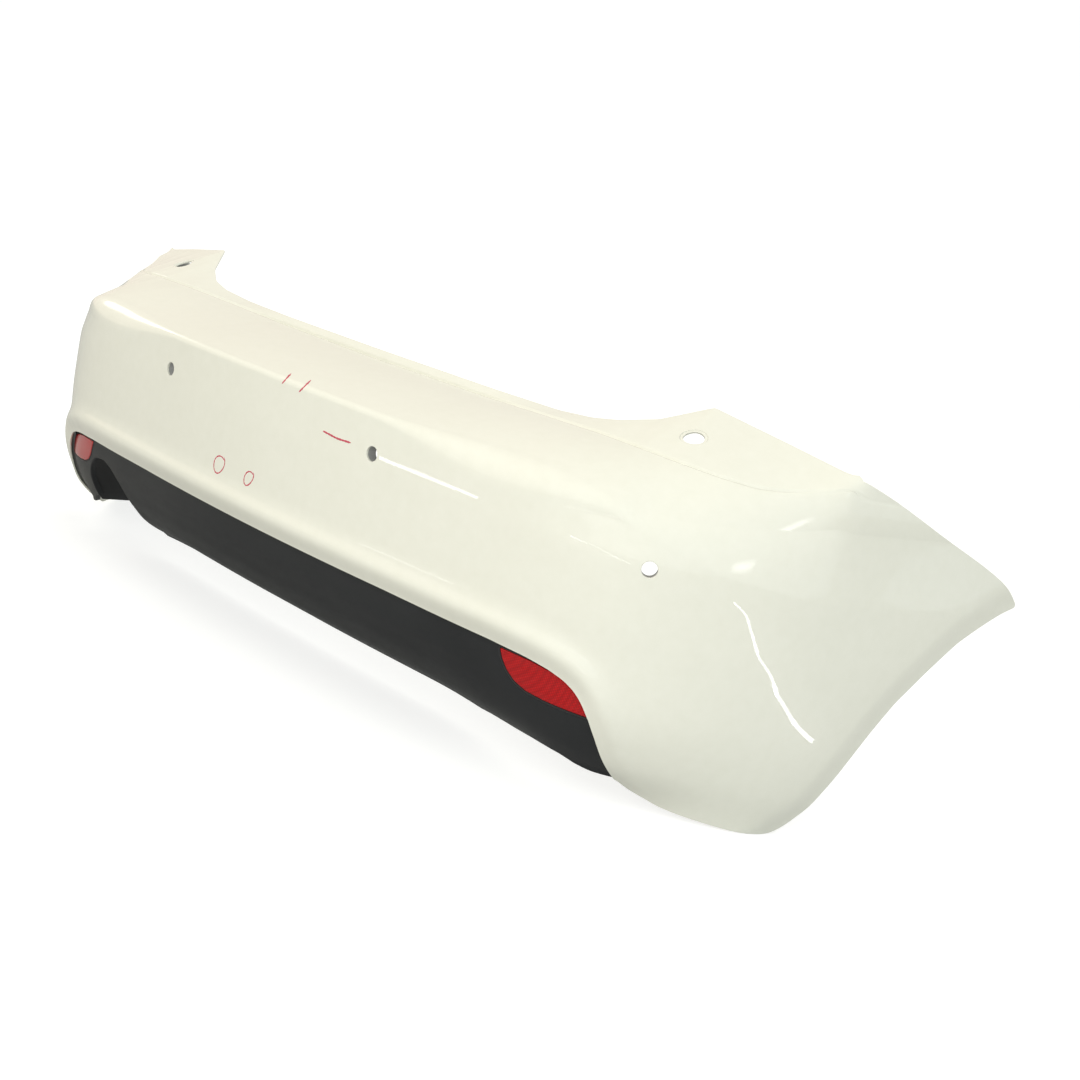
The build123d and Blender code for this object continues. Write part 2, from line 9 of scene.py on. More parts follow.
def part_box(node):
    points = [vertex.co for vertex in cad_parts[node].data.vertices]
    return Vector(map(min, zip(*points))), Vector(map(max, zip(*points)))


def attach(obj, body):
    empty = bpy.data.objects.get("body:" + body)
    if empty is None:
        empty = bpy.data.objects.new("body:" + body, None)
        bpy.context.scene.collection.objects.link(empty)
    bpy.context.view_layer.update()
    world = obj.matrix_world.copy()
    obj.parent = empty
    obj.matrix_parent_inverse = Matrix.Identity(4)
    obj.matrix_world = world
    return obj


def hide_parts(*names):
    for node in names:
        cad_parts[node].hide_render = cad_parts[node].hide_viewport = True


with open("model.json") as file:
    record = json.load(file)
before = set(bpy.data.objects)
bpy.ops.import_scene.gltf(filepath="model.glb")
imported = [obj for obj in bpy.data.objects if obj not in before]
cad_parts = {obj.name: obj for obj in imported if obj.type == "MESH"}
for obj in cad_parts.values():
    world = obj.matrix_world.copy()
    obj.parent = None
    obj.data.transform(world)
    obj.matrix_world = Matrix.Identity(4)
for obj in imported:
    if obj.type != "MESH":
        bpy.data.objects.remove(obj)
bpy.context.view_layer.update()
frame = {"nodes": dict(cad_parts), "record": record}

# ------------------------------------------------------------------ camera
AZ, EL, ROLL = math.radians(40.60051), math.radians(10.32216), math.radians(14.60263)
fwd = Vector((-math.sin(AZ) * math.cos(EL), math.cos(AZ) * math.cos(EL), -math.sin(EL)))
right = Vector((math.cos(AZ), math.sin(AZ), 0))
up = right.cross(fwd)
cx = math.cos(ROLL) * right + math.sin(ROLL) * up
cy = -math.sin(ROLL) * right + math.cos(ROLL) * up
camera_data = bpy.data.cameras.new("camera")
camera_data.sensor_width = 36.0
camera_data.lens = 1553.113 / 1080.0 * 36.0
camera_data.clip_start, camera_data.clip_end = 0.05, 200.0
camera = bpy.data.objects.new("camera", camera_data)
bpy.context.scene.collection.objects.link(camera)
m = Matrix.Identity(4)
for i, axis in enumerate((cx, cy, -fwd)):
    for k in range(3):
        m[k][i] = axis[k]
m.translation = Vector((1.732592, -1.694619, 0.653185))
camera.matrix_world = m
bpy.context.scene.camera = camera

# ------------------------------------------------------------------ shape of the cover (mm)
SKIN_T = 3.2
Y_SHIFT, Z_SHIFT = -85.6, 20.0
PHI_S = [0, 240, 400, 480, 540, 600, 650, 671, 720, 800, 880, 943, 1100, 1330]
PHI_A = [0, 4.0, 6.0, 9.5, 18, 27, 35, 40, 47, 58, 68, 74, 78.5, 81]
PSI_S = [0, 480, 680, 860, 960, 1330]
PSI_A = [0, 6, 21, 36, 42, 52]
REAR_Y = -250.0
CR_S = [0, 500, 600, 655, 760, 840, 920, 1000, 1340]
CR_Z = [375, 375, 366, 354, 346, 346, 352, 360, 380]
CR_T = [0, 0, 4, 9, 10, 9, 9, 10, 14]
CR_R = ([0, 230, 300, 360, 430, 500, 560, 620, 655, 760, 860, 921, 1340],
        [8, 9, 16, 26, 34, 32, 24, 16, 16, 30, 40, 50, 60])
ZR = [-20, 18, 25, 37, 54, 69, 90, 116, 146, 179, 223, 276, 302, 329, 354, 375, 420, 480]
WALL_S = [0, 480, 655, 800, 943, 1340]
WALL = [
    [108, 86, 81, 73, 62, 53, 43, 34, 23, 17, 12.5, 7.5, 5, 3, 1.2, 0, 0, 0],
    [108, 86, 81, 73, 62, 53, 43, 34, 23, 17, 12.5, 7.5, 5, 3, 1.2, 0, 0, 0],
    [110, 70, 58, 46, 36, 28.6, 20, 13.5, 10.5, 8, 4, 1.7, 1, 4.5, 9, 12, 14, 16],
    [66, 47, 41, 34, 27, 22, 15.5, 10, 6.5, 4, 2, 1.5, 2.5, 5, 9, 11, 13, 16],
    [40, 27, 24, 20.5, 16.5, 13.5, 10, 7, 4.5, 2.5, 1, 2, 3, 5.5, 8.5, 10.5, 14, 18.5],
    [30, 22, 20, 17, 14, 12, 9, 6, 4, 2, 1, 2.5, 4.5, 7, 10, 12.5, 18, 27],
]
LIP = [(0, 152), (300, 152), (480, 150), (540, 147), (575, 142), (600, 135), (618, 125),
       (632, 111), (641, 97), (652, 76), (664, 50), (681, 17), (697, -20)]
FLARE_D = [0, 8, 17, 25, 32, 42, 54]
FLARE_T = [4, 0, -4.5, -7, -5.5, -2, 0]
BOT_S = [0, 681, 700, 721, 755, 821, 888, 940, 1340]
BOT_Z = [17, 17, 8, 1, -8, -14, -19, -20, -20]
STEP_LINE = [(0, -62, 418), (240, -55, 419), (356, -62, 423), (471, -74, 427), (545, -76, 427),
             (600, -68, 425), (654, -48, 422), (690, -25, 421), (716, 0, 425), (742, 30, 434),
             (764, 55, 447), (776, 74, 458)]
TOP_EDGE = [(0, -50, 430), (240, -42, 430), (356, -32, 431), (420, -37, 437), (461, -31, 445),
            (505, -7, 460), (552, 39, 492), (670, 56, 475), (782, 78, 457)]
END_S = 920.0
SEAM = [(60, 463.6), (76, 458.5), (137, 440), (180, 425), (226, 409), (275, 393), (326, 376), (377, 356),
        (408, 339), (427, 325.5), (450, 308)]
ARCH = [(474, 349), (427, 325.5), (396, 313), (351, 289), (317, 267), (291, 244), (268, 222), (248, 200),
        (229, 178), (215, 156), (202, 134), (191, 112), (181, 90), (172, 68), (162, 45),
        (152, 20), (134, -4), (107, -40)]
ARCH_FLANGE = 18.0
BAND_W, BAND_DROP = 39.0, 4.2
INS_Z = [20, 30, 45, 60, 80, 96, 106, 120, 135, 148, 158, 190]
INS_S = [0, 300, 490, 600, 655, 705]
INS = [
    [172, 140, 108, 88, 66, 54, 47, 40, 36, 33.8, 29.5, 29.5],
    [166, 136, 106, 87, 66, 54, 47, 40, 36, 33.8, 29.5, 29.5],
    [128, 108, 87, 73, 58, 49, 44, 39, 35, 33.2, 29.5, 29.5],
    [84, 76, 64, 54, 42, 34.5, 32, 30, 28.5, 28, 27, 27],
    [77, 68, 56, 46, 35, 29, 27.5, 25.5, 24, 23, 22, 22],
    [77, 68, 56, 47, 37, 32, 30, 29, 28, 27, 26, 26],
]
INSERT_T = 2.8
REFL = [(489, 143.5), (494, 131), (502, 118), (514, 107), (532, 100), (560, 97), (590, 96),
        (618, 95.5), (618, 106), (608, 119), (594, 130), (570, 137.5), (535, 142)]
EXHAUST = [(-388, 0), (-388, 62), (-392, 80), (-404, 102), (-424, 118), (-450, 124), (-478, 120),
           (-501, 105), (-517, 87), (-528, 66), (-533, 46), (-533, 0)]


def mono(xs, ys, x):
    """Monotone cubic lookup. ys holds one value, or one row of values, for each of xs."""
    xs, ys, x = np.asarray(xs, float), np.asarray(ys, float), np.asarray(x, float)
    tail = (1,) * (ys.ndim - 1)
    h = np.diff(xs)
    d = np.diff(ys, axis=0) / h.reshape(-1, *tail)
    slope = np.zeros_like(ys)
    slope[0], slope[-1] = d[0], d[-1]
    if len(xs) > 2:
        a, b = d[:-1], d[1:]
        w1 = (2 * h[1:] + h[:-1]).reshape(-1, *tail)
        w2 = (h[1:] + 2 * h[:-1]).reshape(-1, *tail)
        ok = a * b > 0
        sa, sb = np.where(ok, a, 1.0), np.where(ok, b, 1.0)
        slope[1:-1] = np.where(ok, (w1 + w2) / (w1 / sa + w2 / sb), 0.0)
    xc = np.clip(x, xs[0], xs[-1])
    i = np.clip(np.searchsorted(xs, xc, side="right") - 1, 0, len(xs) - 2)
    t = ((xc - xs[i]) / h[i]).reshape(x.shape + tail)
    hh = h[i].reshape(x.shape + tail)
    return ((1 + 2 * t) * (1 - t) ** 2 * ys[i] + t * (1 - t) ** 2 * hh * slope[i]
            + t * t * (3 - 2 * t) * ys[i + 1] + t * t * (t - 1) * hh * slope[i + 1])


def smooth(a, sigma, axis=0, mirror=False):
    """Gaussian filter along one axis. sigma is in samples; mirror reflects the low end."""
    n = int(3 * sigma) + 1
    k = np.exp(-0.5 * (np.arange(-n, n + 1) / sigma) ** 2)
    k /= k.sum()
    b = np.moveaxis(a, axis, 0)
    low = b[1:n + 1][::-1] if mirror else np.repeat(b[:1], n, 0)
    b = np.concatenate([low, b, np.repeat(b[-1:], n, 0)])
    out = sum(k[j] * b[j:j + a.shape[axis]] for j in range(2 * n + 1))
    return np.moveaxis(out, 0, axis)


STEP = 2.0
SG = np.arange(0, 1341, STEP)
_head = np.radians(mono(PHI_S, PHI_A, SG[:-1] + STEP / 2))
PX = np.concatenate([[0], np.cumsum(STEP * np.cos(_head))])
PY = np.concatenate([[0], np.cumsum(STEP * np.sin(_head))]) + REAR_Y
_psi = np.radians(smooth(mono(PSI_S, PSI_A, SG), 8, 0))
_psi[:40] = np.radians(mono(PSI_S, PSI_A, SG))[:40]
DX, DY = -np.sin(_psi), np.cos(_psi)


def crossing(k, line):
    x0, y0, dx, dy = PX[k], PY[k], DX[k], DY[k]
    for a, b in zip(line, line[1:]):
        ex, ey = b[0] - a[0], b[1] - a[1]
        det = -dx * ey + dy * ex
        if abs(det) < 1e-9:
            continue
        rx, ry = a[0] - x0, a[1] - y0
        t = (-rx * ey + ry * ex) / det
        u = (dx * ry - dy * rx) / det
        if -1e-6 <= u <= 1.000001 and t > -40:
            return t, a[2] + (b[2] - a[2]) * u
    return None


# inset of the wall on a grid of arc length and height
ZG = np.arange(-40, 486, 2.0)
WF = mono(WALL_S, np.array([mono(ZR, row, ZG) for row in WALL]), SG)
WF = smooth(WF, 7, 0, mirror=True)
_s, _z = SG[:, None], ZG[None, :]
_best = np.full(WF.shape, 1e9)
_side = np.ones(WF.shape)
for (a, b), (c, d) in zip(LIP, LIP[1:]):
    us, uz = c - a, d - b
    t = np.clip(((_s - a) * us + (_z - b) * uz) / (us * us + uz * uz), 0, 1)
    e = np.hypot(_s - a - us * t, _z - b - uz * t)
    sd = np.where(us * (_z - b) - uz * (_s - a) >= 0, 1.0, -1.0)
    near = e < _best
    _best, _side = np.where(near, e, _best), np.where(near, sd, _side)
_sd = _best * _side
_amp = np.where(_s > 590, mono([-20, 17, 60, 110, 134, 400], [0.25, 0.3, 0.45, 0.85, 1, 1], ZG)[None, :], 1.0)
_fl = np.where(_sd > 54, 0.0, _amp * mono(FLARE_D, FLARE_T, np.clip(_sd, 0, None)))
WF = WF + smooth(smooth(_fl, 1.6, 0, mirror=True), 1.1, 1)

_w = np.clip((_s - 640) / 40, 0, 1) * np.clip((80 - _z) / 30, 0, 1)
WF = WF * (1 - _w) + smooth(WF, 7.0, 1) * _w

# one section line for each station: rows from the bottom to the free edge
NA, NB, NC, NE = 92, 12, 26, 18
Z0 = -24.0
NR = NA + 1 + NB + NC + 5 + NE
ROW_B, ROW_C, ROW_D = NA + 1, NA + 1 + NB, NA + 1 + NB + NC
T, Z = np.zeros((len(SG), NR)), np.zeros((len(SG), NR))
zv_all, tv_all, run_all = mono(CR_S, CR_Z, SG), mono(CR_S, CR_T, SG), mono(CR_R[0], CR_R[1], SG)
for k, s in enumerate(SG):
    zv, tv, run = zv_all[k], tv_all[k], run_all[k]
    z = np.linspace(Z0, zv - run, NA + 1)
    T[k, :NA + 1], Z[k, :NA + 1] = np.interp(z, ZG, WF[k]), z
    if s <= END_S:
        edge = crossing(k, TOP_EDGE)
        stp = crossing(k, STEP_LINE)
        if stp is None or stp[1] > edge[1] - 4 or edge[0] - stp[0] < 6:
            stp = (tv + (edge[0] - tv) * 0.62, zv + (edge[1] - zv) * 0.80)
    else:
        edge = (np.interp(478, ZG, WF[k]), 478.0)
        stp = (np.interp(440, ZG, WF[k]), 440.0)
    a = np.array((T[k, NA], Z[k, NA]))
    v, e, p = np.array((tv, zv)), np.array(edge), np.array(stp)
    ln = np.linalg.norm(p - v)
    d1 = (p - v) / ln
    n1 = np.array((-d1[1], d1[0]))
    b = v + d1 * ln * min(run / ln, 0.45)
    u = (np.arange(1, NB + 1) / NB)[:, None]
    q = (1 - u) ** 2 * a + 2 * u * (1 - u) * v + u * u * b
    T[k, ROW_B:ROW_C], Z[k, ROW_B:ROW_C] = q[:, 0], q[:, 1]
    reach = np.linalg.norm(p - b)
    last = max(reach - 5.2, reach * 0.5)
    u = (np.arange(1, NC + 1) / NC * last / reach)[:, None]
    q = b + (p - b) * u + n1 * (0.022 * ln * 4 * u * (1 - u))
    T[k, ROW_C:ROW_D], Z[k, ROW_C:ROW_D] = q[:, 0], q[:, 1]
    # shallow groove along the step, then the lamp flange
    flen = np.linalg.norm(e - p)
    d2 = (e - p) / flen
    n2 = np.array((-d2[1], d2[0]))
    g = float(np.interp(s, [0, 600, 700, 800, 850, 890], [5.0, 5.0, 3.6, 2.4, 1.2, 0.0]))
    w = min(1.0, flen / 14.0)
    rows = [p - d1 * 3.4 * w, p - d1 * 1.4 * w - n1 * g * 0.30, p - (n1 + n2) * 0.5 * g,
            p + d2 * 1.5 * w - n2 * g * 0.62, p + d2 * 3.4 * w - n2 * g * 0.10]
    for j, r in enumerate(rows):
        T[k, ROW_D + j], Z[k, ROW_D + j] = r
    for j in range(NE):
        f = 5.2 * w / flen + (1 - 5.2 * w / flen) * j / (NE - 1)
        T[k, ROW_D + 5 + j], Z[k, ROW_D + 5 + j] = p + (e - p) * f
for arr in (T, Z):
    arr[:, :ROW_D] = smooth(arr[:, :ROW_D], 3.5, 0, mirror=True)
    fine, soft = smooth(arr[:, ROW_D:], 2.2, 0, mirror=True), smooth(arr[:, ROW_D:], 7.0, 0, mirror=True)
    late = np.clip((SG - 800) / 50, 0, 1)[:, None] * np.clip((960 - SG) / 30, 0, 1)[:, None]
    arr[:, ROW_D:] = fine * (1 - late) + soft * late

# facet along the wheel arch
_y = PY[:, None] + DY[:, None] * T
_d = np.full(T.shape, 1e9)
for (a, b), (c, d) in zip(ARCH, ARCH[1:]):
    us, uz = c - a, d - b
    t = np.clip(((_y - a) * us + (Z - b) * uz) / (us * us + uz * uz), 0, 1)
    _d = np.minimum(_d, np.hypot(_y - a - us * t, Z - b - uz * t))
_u = BAND_W - _d
_far = np.clip((SG[:, None] - 760) / 60, 0, 1)
T = T + _far * (BAND_DROP / BAND_W * 0.5 * (_u + np.sqrt(_u * _u + 3.0))
                - 4.0 * np.exp(-0.5 * (_u / np.where(_u > 0, 18.0, 60.0)) ** 2))

# smooth limits of the rows
_lip = np.interp(SG, [p[0] for p in LIP], [p[1] for p in LIP])
_lip[SG > 697] = -1e3
_lip[SG <= 640] = smooth(_lip, 3.0, 0, mirror=True)[SG <= 640]
_low = np.maximum(_lip, mono(BOT_S, BOT_Z, SG))
VLOW = np.array([np.interp(_low[k], Z[k, :NA + 1], np.arange(NA + 1)) for k in range(len(SG))])
XYZ = np.stack([PX[:, None] + DX[:, None] * T, PY[:, None] + DY[:, None] * T + Y_SHIFT, Z + Z_SHIFT], 2)
_y = XYZ[..., 1] - Y_SHIFT
_g = _y - mono([p[1] for p in ARCH[::-1]], [p[0] for p in ARCH[::-1]], Z)
_h = np.minimum(Z - mono([p[0] for p in SEAM], [p[1] for p in SEAM], _y), (_y - 76) * 2.0)
VHIGH = np.full(len(SG), NR - 1.0)
IS_ARCH = np.zeros(len(SG), bool)
for k, s in enumerate(SG):
    if s < 700:
        continue
    j = np.nonzero((_g[k] > 0) & (Z[k] < 352))[0]
    if len(j):
        j = j[-1]
        v = j + _g[k, j] / (_g[k, j] - _g[k, j + 1]) if _g[k, j + 1] < 0 else float(j)
        if v > VLOW[k]:
            VLOW[k], IS_ARCH[k] = v, True
    j = np.nonzero((_h[k] > 0) & (Z[k] > 300))[0]
    if len(j) and s > 820:
        j = j[0]
        VHIGH[k] = j - 1 + _h[k, j - 1] / (_h[k, j - 1] - _h[k, j])
_k0 = int(np.nonzero(IS_ARCH)[0][0])
_w = np.exp(-((np.arange(len(SG)) - _k0) / 20.0) ** 2)
VLOW = VLOW * (1 - _w) + smooth(VLOW, 8.0) * _w
TIP = int(np.nonzero((VHIGH - VLOW < 0.4) & (SG > 900))[0][0])
VLOW[TIP] = VHIGH[TIP] = 0.5 * (VLOW[TIP] + VHIGH[TIP])

_du = np.gradient(XYZ, axis=0)
_dv = np.gradient(XYZ, axis=1)
NRM = np.cross(_du, _dv)
NRM /= np.linalg.norm(NRM, axis=2, keepdims=True)
if (NRM[50, 40] @ np.array((0, -1, 0))) < 0:
    NRM = -NRM


def surf(s, v):
    """Point and outward normal of the skin at arc length s and row v (arrays)."""
    s, v = np.asarray(s, float), np.asarray(v, float)
    side = np.where(s < 0, -1.0, 1.0)
    a = np.clip(np.abs(s) / STEP, 0, len(SG) - 1.001)
    b = np.clip(v, 0, NR - 1.001)
    i, j = a.astype(int), b.astype(int)
    fa, fb = (a - i)[..., None], (b - j)[..., None]

    def take(arr):
        return ((arr[i, j] * (1 - fa) + arr[i + 1, j] * fa) * (1 - fb)
                + (arr[i, j + 1] * (1 - fa) + arr[i + 1, j + 1] * fa) * fb)

    p, n = take(XYZ), take(NRM)
    n = n / np.linalg.norm(n, axis=-1, keepdims=True)
    flip = np.stack([side, np.ones_like(side), np.ones_like(side)], -1)
    return p * flip, n * flip


def row_at(s, z):
    """Row of the wall at arc length s and height z (before the frame lift)."""
    k = int(round(abs(s) / STEP))
    return float(np.interp(z, Z[k, :NA + 1], np.arange(NA + 1)))


class Builder:
    def __init__(self):
        self.v, self.n, self.f, self.m, self.w = [], [], [], [], []

    def points(self, p, n, w=0.0):
        p, n = np.atleast_2d(p), np.atleast_2d(n)
        k = len(self.v)
        self.v.extend(p.tolist())
        self.n.extend(np.broadcast_to(n, p.shape).tolist())
        self.w.extend(np.broadcast_to(np.atleast_1d(w), (len(p),)).tolist())
        return list(range(k, k + len(p)))

    def face(self, ids, mat=0):
        out = []
        for i in ids:
            if not out or (i != out[-1] and i != out[0]):
                out.append(i)
        if len(out) >= 3:
            self.f.append(out)
            self.m.append(mat)

    def strip(self, a, b, mat=0, closed=False):
        n = len(a)
        for k in range(n if closed else n - 1):
            q = (k + 1) % n
            self.face([a[k], a[q], b[q], b[k]], mat)

    def build(self, name, materials):
        v, n = np.array(self.v), np.array(self.n)
        n /= np.maximum(np.linalg.norm(n, axis=1, keepdims=True), 1e-9)
        faces = []
        for f in self.f:
            c = v[f]
            area = np.zeros(3)
            for k in range(1, len(f) - 1):
                area += np.cross(c[k] - c[0], c[k + 1] - c[0])
            faces.append(f[::-1] if area @ n[f].sum(0) < 0 else f)
        mesh = bpy.data.meshes.new(name)
        mesh.from_pydata((v / 1000.0).tolist(), [], faces)
        for mt in materials:
            mesh.materials.append(mt)
        mesh.polygons.foreach_set("material_index", np.array(self.m, np.int32))
        mesh.polygons.foreach_set("use_smooth", np.ones(len(faces), bool))
        att = mesh.attributes.new("edge", "FLOAT", "POINT")
        att.data.foreach_set("value", np.array(self.w, np.float32))
        mesh.update()
        mesh.normals_split_custom_set_from_vertices(n.tolist())
        obj = bpy.data.objects.new(name, mesh)
        bpy.context.scene.collection.objects.link(obj)
        return obj


# ------------------------------------------------------------------ materials
def new_mat(name):
    mt = bpy.data.materials.new(name)
    mt.use_nodes = True
    nt = mt.node_tree
    return mt, nt, nt.nodes["Principled BSDF"]


def node(nt, kind, **values):
    nd = nt.nodes.new(kind)
    for k, val in values.items():
        if k in nd.inputs:
            nd.inputs[k].default_value = val
        else:
            setattr(nd, k, val)
    return nd


def noise(nt, scale, detail=2.0, rough=0.5, stretch=None):
    tc = nt.nodes.new("ShaderNodeTexCoord")
    nz = node(nt, "ShaderNodeTexNoise", Scale=scale, Detail=detail, Roughness=rough)
    if stretch:
        mp = nt.nodes.new("ShaderNodeMapping")
        mp.inputs["Scale"].default_value = stretch
        nt.links.new(tc.outputs["Object"], mp.inputs["Vector"])
        nt.links.new(mp.outputs["Vector"], nz.inputs["Vector"])
    else:
        nt.links.new(tc.outputs["Object"], nz.inputs["Vector"])
    return nz.outputs["Fac"]


def ramp(nt, fac, stops):
    r = nt.nodes.new("ShaderNodeValToRGB")
    r.color_ramp.elements[0].position, r.color_ramp.elements[0].color = stops[0][0], (*stops[0][1], 1)
    r.color_ramp.elements[1].position, r.color_ramp.elements[1].color = stops[-1][0], (*stops[-1][1], 1)
    for pos, col in stops[1:-1]:
        el = r.color_ramp.elements.new(pos)
        el.color = (*col, 1)
    nt.links.new(fac, r.inputs["Fac"])
    return r.outputs["Color"]


def mixc(nt, fac, a, b):
    mx = nt.nodes.new("ShaderNodeMix")
    mx.data_type = "RGBA"
    for key, val in ((0, fac), (6, a), (7, b)):
        if isinstance(val, bpy.types.NodeSocket):
            nt.links.new(val, mx.inputs[key])
        else:
            mx.inputs[key].default_value = val if key == 0 else (*val, 1)
    return mx.outputs[2]


def math_node(nt, op, a, b=0.0, c=None, clamp=False):
    nd = nt.nodes.new("ShaderNodeMath")
    nd.operation, nd.use_clamp = op, clamp
    for k, val in enumerate((a, b, c)):
        if val is None:
            continue
        if isinstance(val, bpy.types.NodeSocket):
            nt.links.new(val, nd.inputs[k])
        else:
            nd.inputs[k].default_value = val
    return nd.outputs[0]


def bump(nt, height, distance, strength=1.0, normal=None):
    b = node(nt, "ShaderNodeBump", Strength=strength, Distance=distance)
    nt.links.new(height, b.inputs["Height"])
    if normal is not None:
        nt.links.new(normal, b.inputs["Normal"])
    return b.outputs["Normal"]


def spots(nt, places, soft=1.0):
    """Mask that is 1 at each of the places (x, y, z, radius in metres), broken up by noise."""
    tc = nt.nodes.new("ShaderNodeTexCoord")
    grain = noise(nt, 900.0, 3.0, 0.7)
    total = None
    for x, y, z, r in places:
        dist = node(nt, "ShaderNodeVectorMath", operation="DISTANCE")
        nt.links.new(tc.outputs["Object"], dist.inputs[0])
        dist.inputs[1].default_value = (x, y, z)
        near = math_node(nt, "SUBTRACT", 1.0, math_node(nt, "DIVIDE", dist.outputs["Value"], r), clamp=True)
        total = near if total is None else math_node(nt, "MAXIMUM", total, near)
    cut = math_node(nt, "SUBTRACT", math_node(nt, "ADD", math_node(nt, "MULTIPLY", total, 0.9), grain), 0.95)
    return math_node(nt, "MULTIPLY", cut, 6.0 * soft, clamp=True)


SCUFFS = [(0.8000, 0.0430, 0.1746, 0.004), (0.8023, 0.0514, 0.1708, 0.005), (0.8045, 0.0600, 0.1671, 0.004)]


def make_paint():
    mt, nt, bs = new_mat("paint_pearl_white")
    large = noise(nt, 2.2, 2.0)
    fine = noise(nt, 60.0, 4.0, 0.6)
    base = ramp(nt, large, [(0.3, (0.80, 0.795, 0.702)), (0.7, (0.83, 0.825, 0.736))])
    dusty = ramp(nt, fine, [(0.25, (0.97, 0.97, 0.96)), (0.75, (1.0, 1.0, 1.0))])
    mul = nt.nodes.new("ShaderNodeMix")
    mul.data_type, mul.blend_type = "RGBA", "MULTIPLY"
    mul.inputs[0].default_value = 1.0
    nt.links.new(base, mul.inputs[6])
    nt.links.new(dusty, mul.inputs[7])
    color = mul.outputs[2]
    # a few tiny stone specks and scuffs
    tc = nt.nodes.new("ShaderNodeTexCoord")
    vor = node(nt, "ShaderNodeTexVoronoi", Scale=14.0)
    nt.links.new(tc.outputs["Object"], vor.inputs["Vector"])
    speck = math_node(nt, "LESS_THAN", vor.outputs["Distance"], 0.011)
    color = mixc(nt, math_node(nt, "MULTIPLY", speck, 0.55), color, (0.16, 0.15, 0.13))
    if SCUFFS:
        color = mixc(nt, math_node(nt, "MULTIPLY", spots(nt, SCUFFS), 0.8), color, (0.10, 0.10, 0.10))
    nt.links.new(color, bs.inputs["Base Color"])
    bs.inputs["Roughness"].default_value = 0.38
    bs.inputs["Specular IOR Level"].default_value = 0.35
    bs.inputs["Coat Weight"].default_value = 1.0
    bs.inputs["Coat IOR"].default_value = 1.5
    haze = noise(nt, 5.0, 5.0, 0.6)
    rough = math_node(nt, "MULTIPLY_ADD", haze, 0.016, 0.008)
    nt.links.new(rough, bs.inputs["Coat Roughness"])
    peel = noise(nt, 230.0, 2.0, 0.45)
    wave = noise(nt, 16.0, 1.0, 0.4)
    nt.links.new(bump(nt, peel, 0.000012, 0.35, bump(nt, wave, 0.00012, 0.25)), bs.inputs["Coat Normal"])
    nt.links.new(bump(nt, noise(nt, 600.0, 2.0), 0.00005, 0.25), bs.inputs["Normal"])
    return mt


def make_inner():
    """Bare back of the moulding with paint overspray near its edges."""
    mt, nt, bs = new_mat("bare_back_with_overspray")
    at = nt.nodes.new("ShaderNodeAttribute")
    at.attribute_name = "edge"
    cloud = noise(nt, 22.0, 5.0, 0.65)
    spray = math_node(nt, "ADD", at.outputs["Fac"], math_node(nt, "MULTIPLY_ADD", cloud, 0.9, -0.45))
    spray = math_node(nt, "MULTIPLY", spray, math_node(nt, "MINIMUM", math_node(nt, "MULTIPLY", at.outputs["Fac"], 6.0), 1.0), clamp=True)
    flow = noise(nt, 3.0, 3.0, 0.5, stretch=(1.0, 1.0, 4.0))
    plastic = ramp(nt, flow, [(0.3, (0.105, 0.108, 0.110)), (0.7, (0.155, 0.158, 0.160))])
    color = mixc(nt, spray, plastic, (0.66, 0.655, 0.59))
    nt.links.new(color, bs.inputs["Base Color"])
    bs.inputs["Roughness"].default_value = 0.5
    nt.links.new(bump(nt, noise(nt, 420.0, 3.0, 0.6), 0.00012, 0.5), bs.inputs["Normal"])
    return mt


def make_grained(name, dark, light, rough=0.5, grain=1.0, scale=900.0, spec=0.5):
    mt, nt, bs = new_mat(name)
    cloud = noise(nt, 5.0, 4.0, 0.55)
    base = ramp(nt, cloud, [(0.3, dark), (0.7, light)])
    tc = nt.nodes.new("ShaderNodeTexCoord")
    vor = node(nt, "ShaderNodeTexVoronoi", Scale=scale)
    vor.feature = "SMOOTH_F1"
    nt.links.new(tc.outputs["Object"], vor.inputs["Vector"])
    fine = noise(nt, scale * 2.2, 2.0, 0.6)
    height = math_node(nt, "ADD", vor.outputs["Distance"], math_node(nt, "MULTIPLY", fine, 0.4))
    shade = ramp(nt, vor.outputs["Distance"], [(0.0, (0.93, 0.93, 0.93)), (0.6, (1.06, 1.06, 1.06))])
    mul = nt.nodes.new("ShaderNodeMix")
    mul.data_type, mul.blend_type = "RGBA", "MULTIPLY"
    mul.inputs[0].default_value = 1.0
    nt.links.new(base, mul.inputs[6])
    nt.links.new(shade, mul.inputs[7])
    nt.links.new(mul.outputs[2], bs.inputs["Base Color"])
    bs.inputs["Specular IOR Level"].default_value = spec
    wear = noise(nt, 9.0, 5.0, 0.6)
    nt.links.new(math_node(nt, "MULTIPLY_ADD", wear, 0.16, rough - 0.08), bs.inputs["Roughness"])
    nt.links.new(bump(nt, height, 0.00022 * grain, 0.55), bs.inputs["Normal"])
    return mt


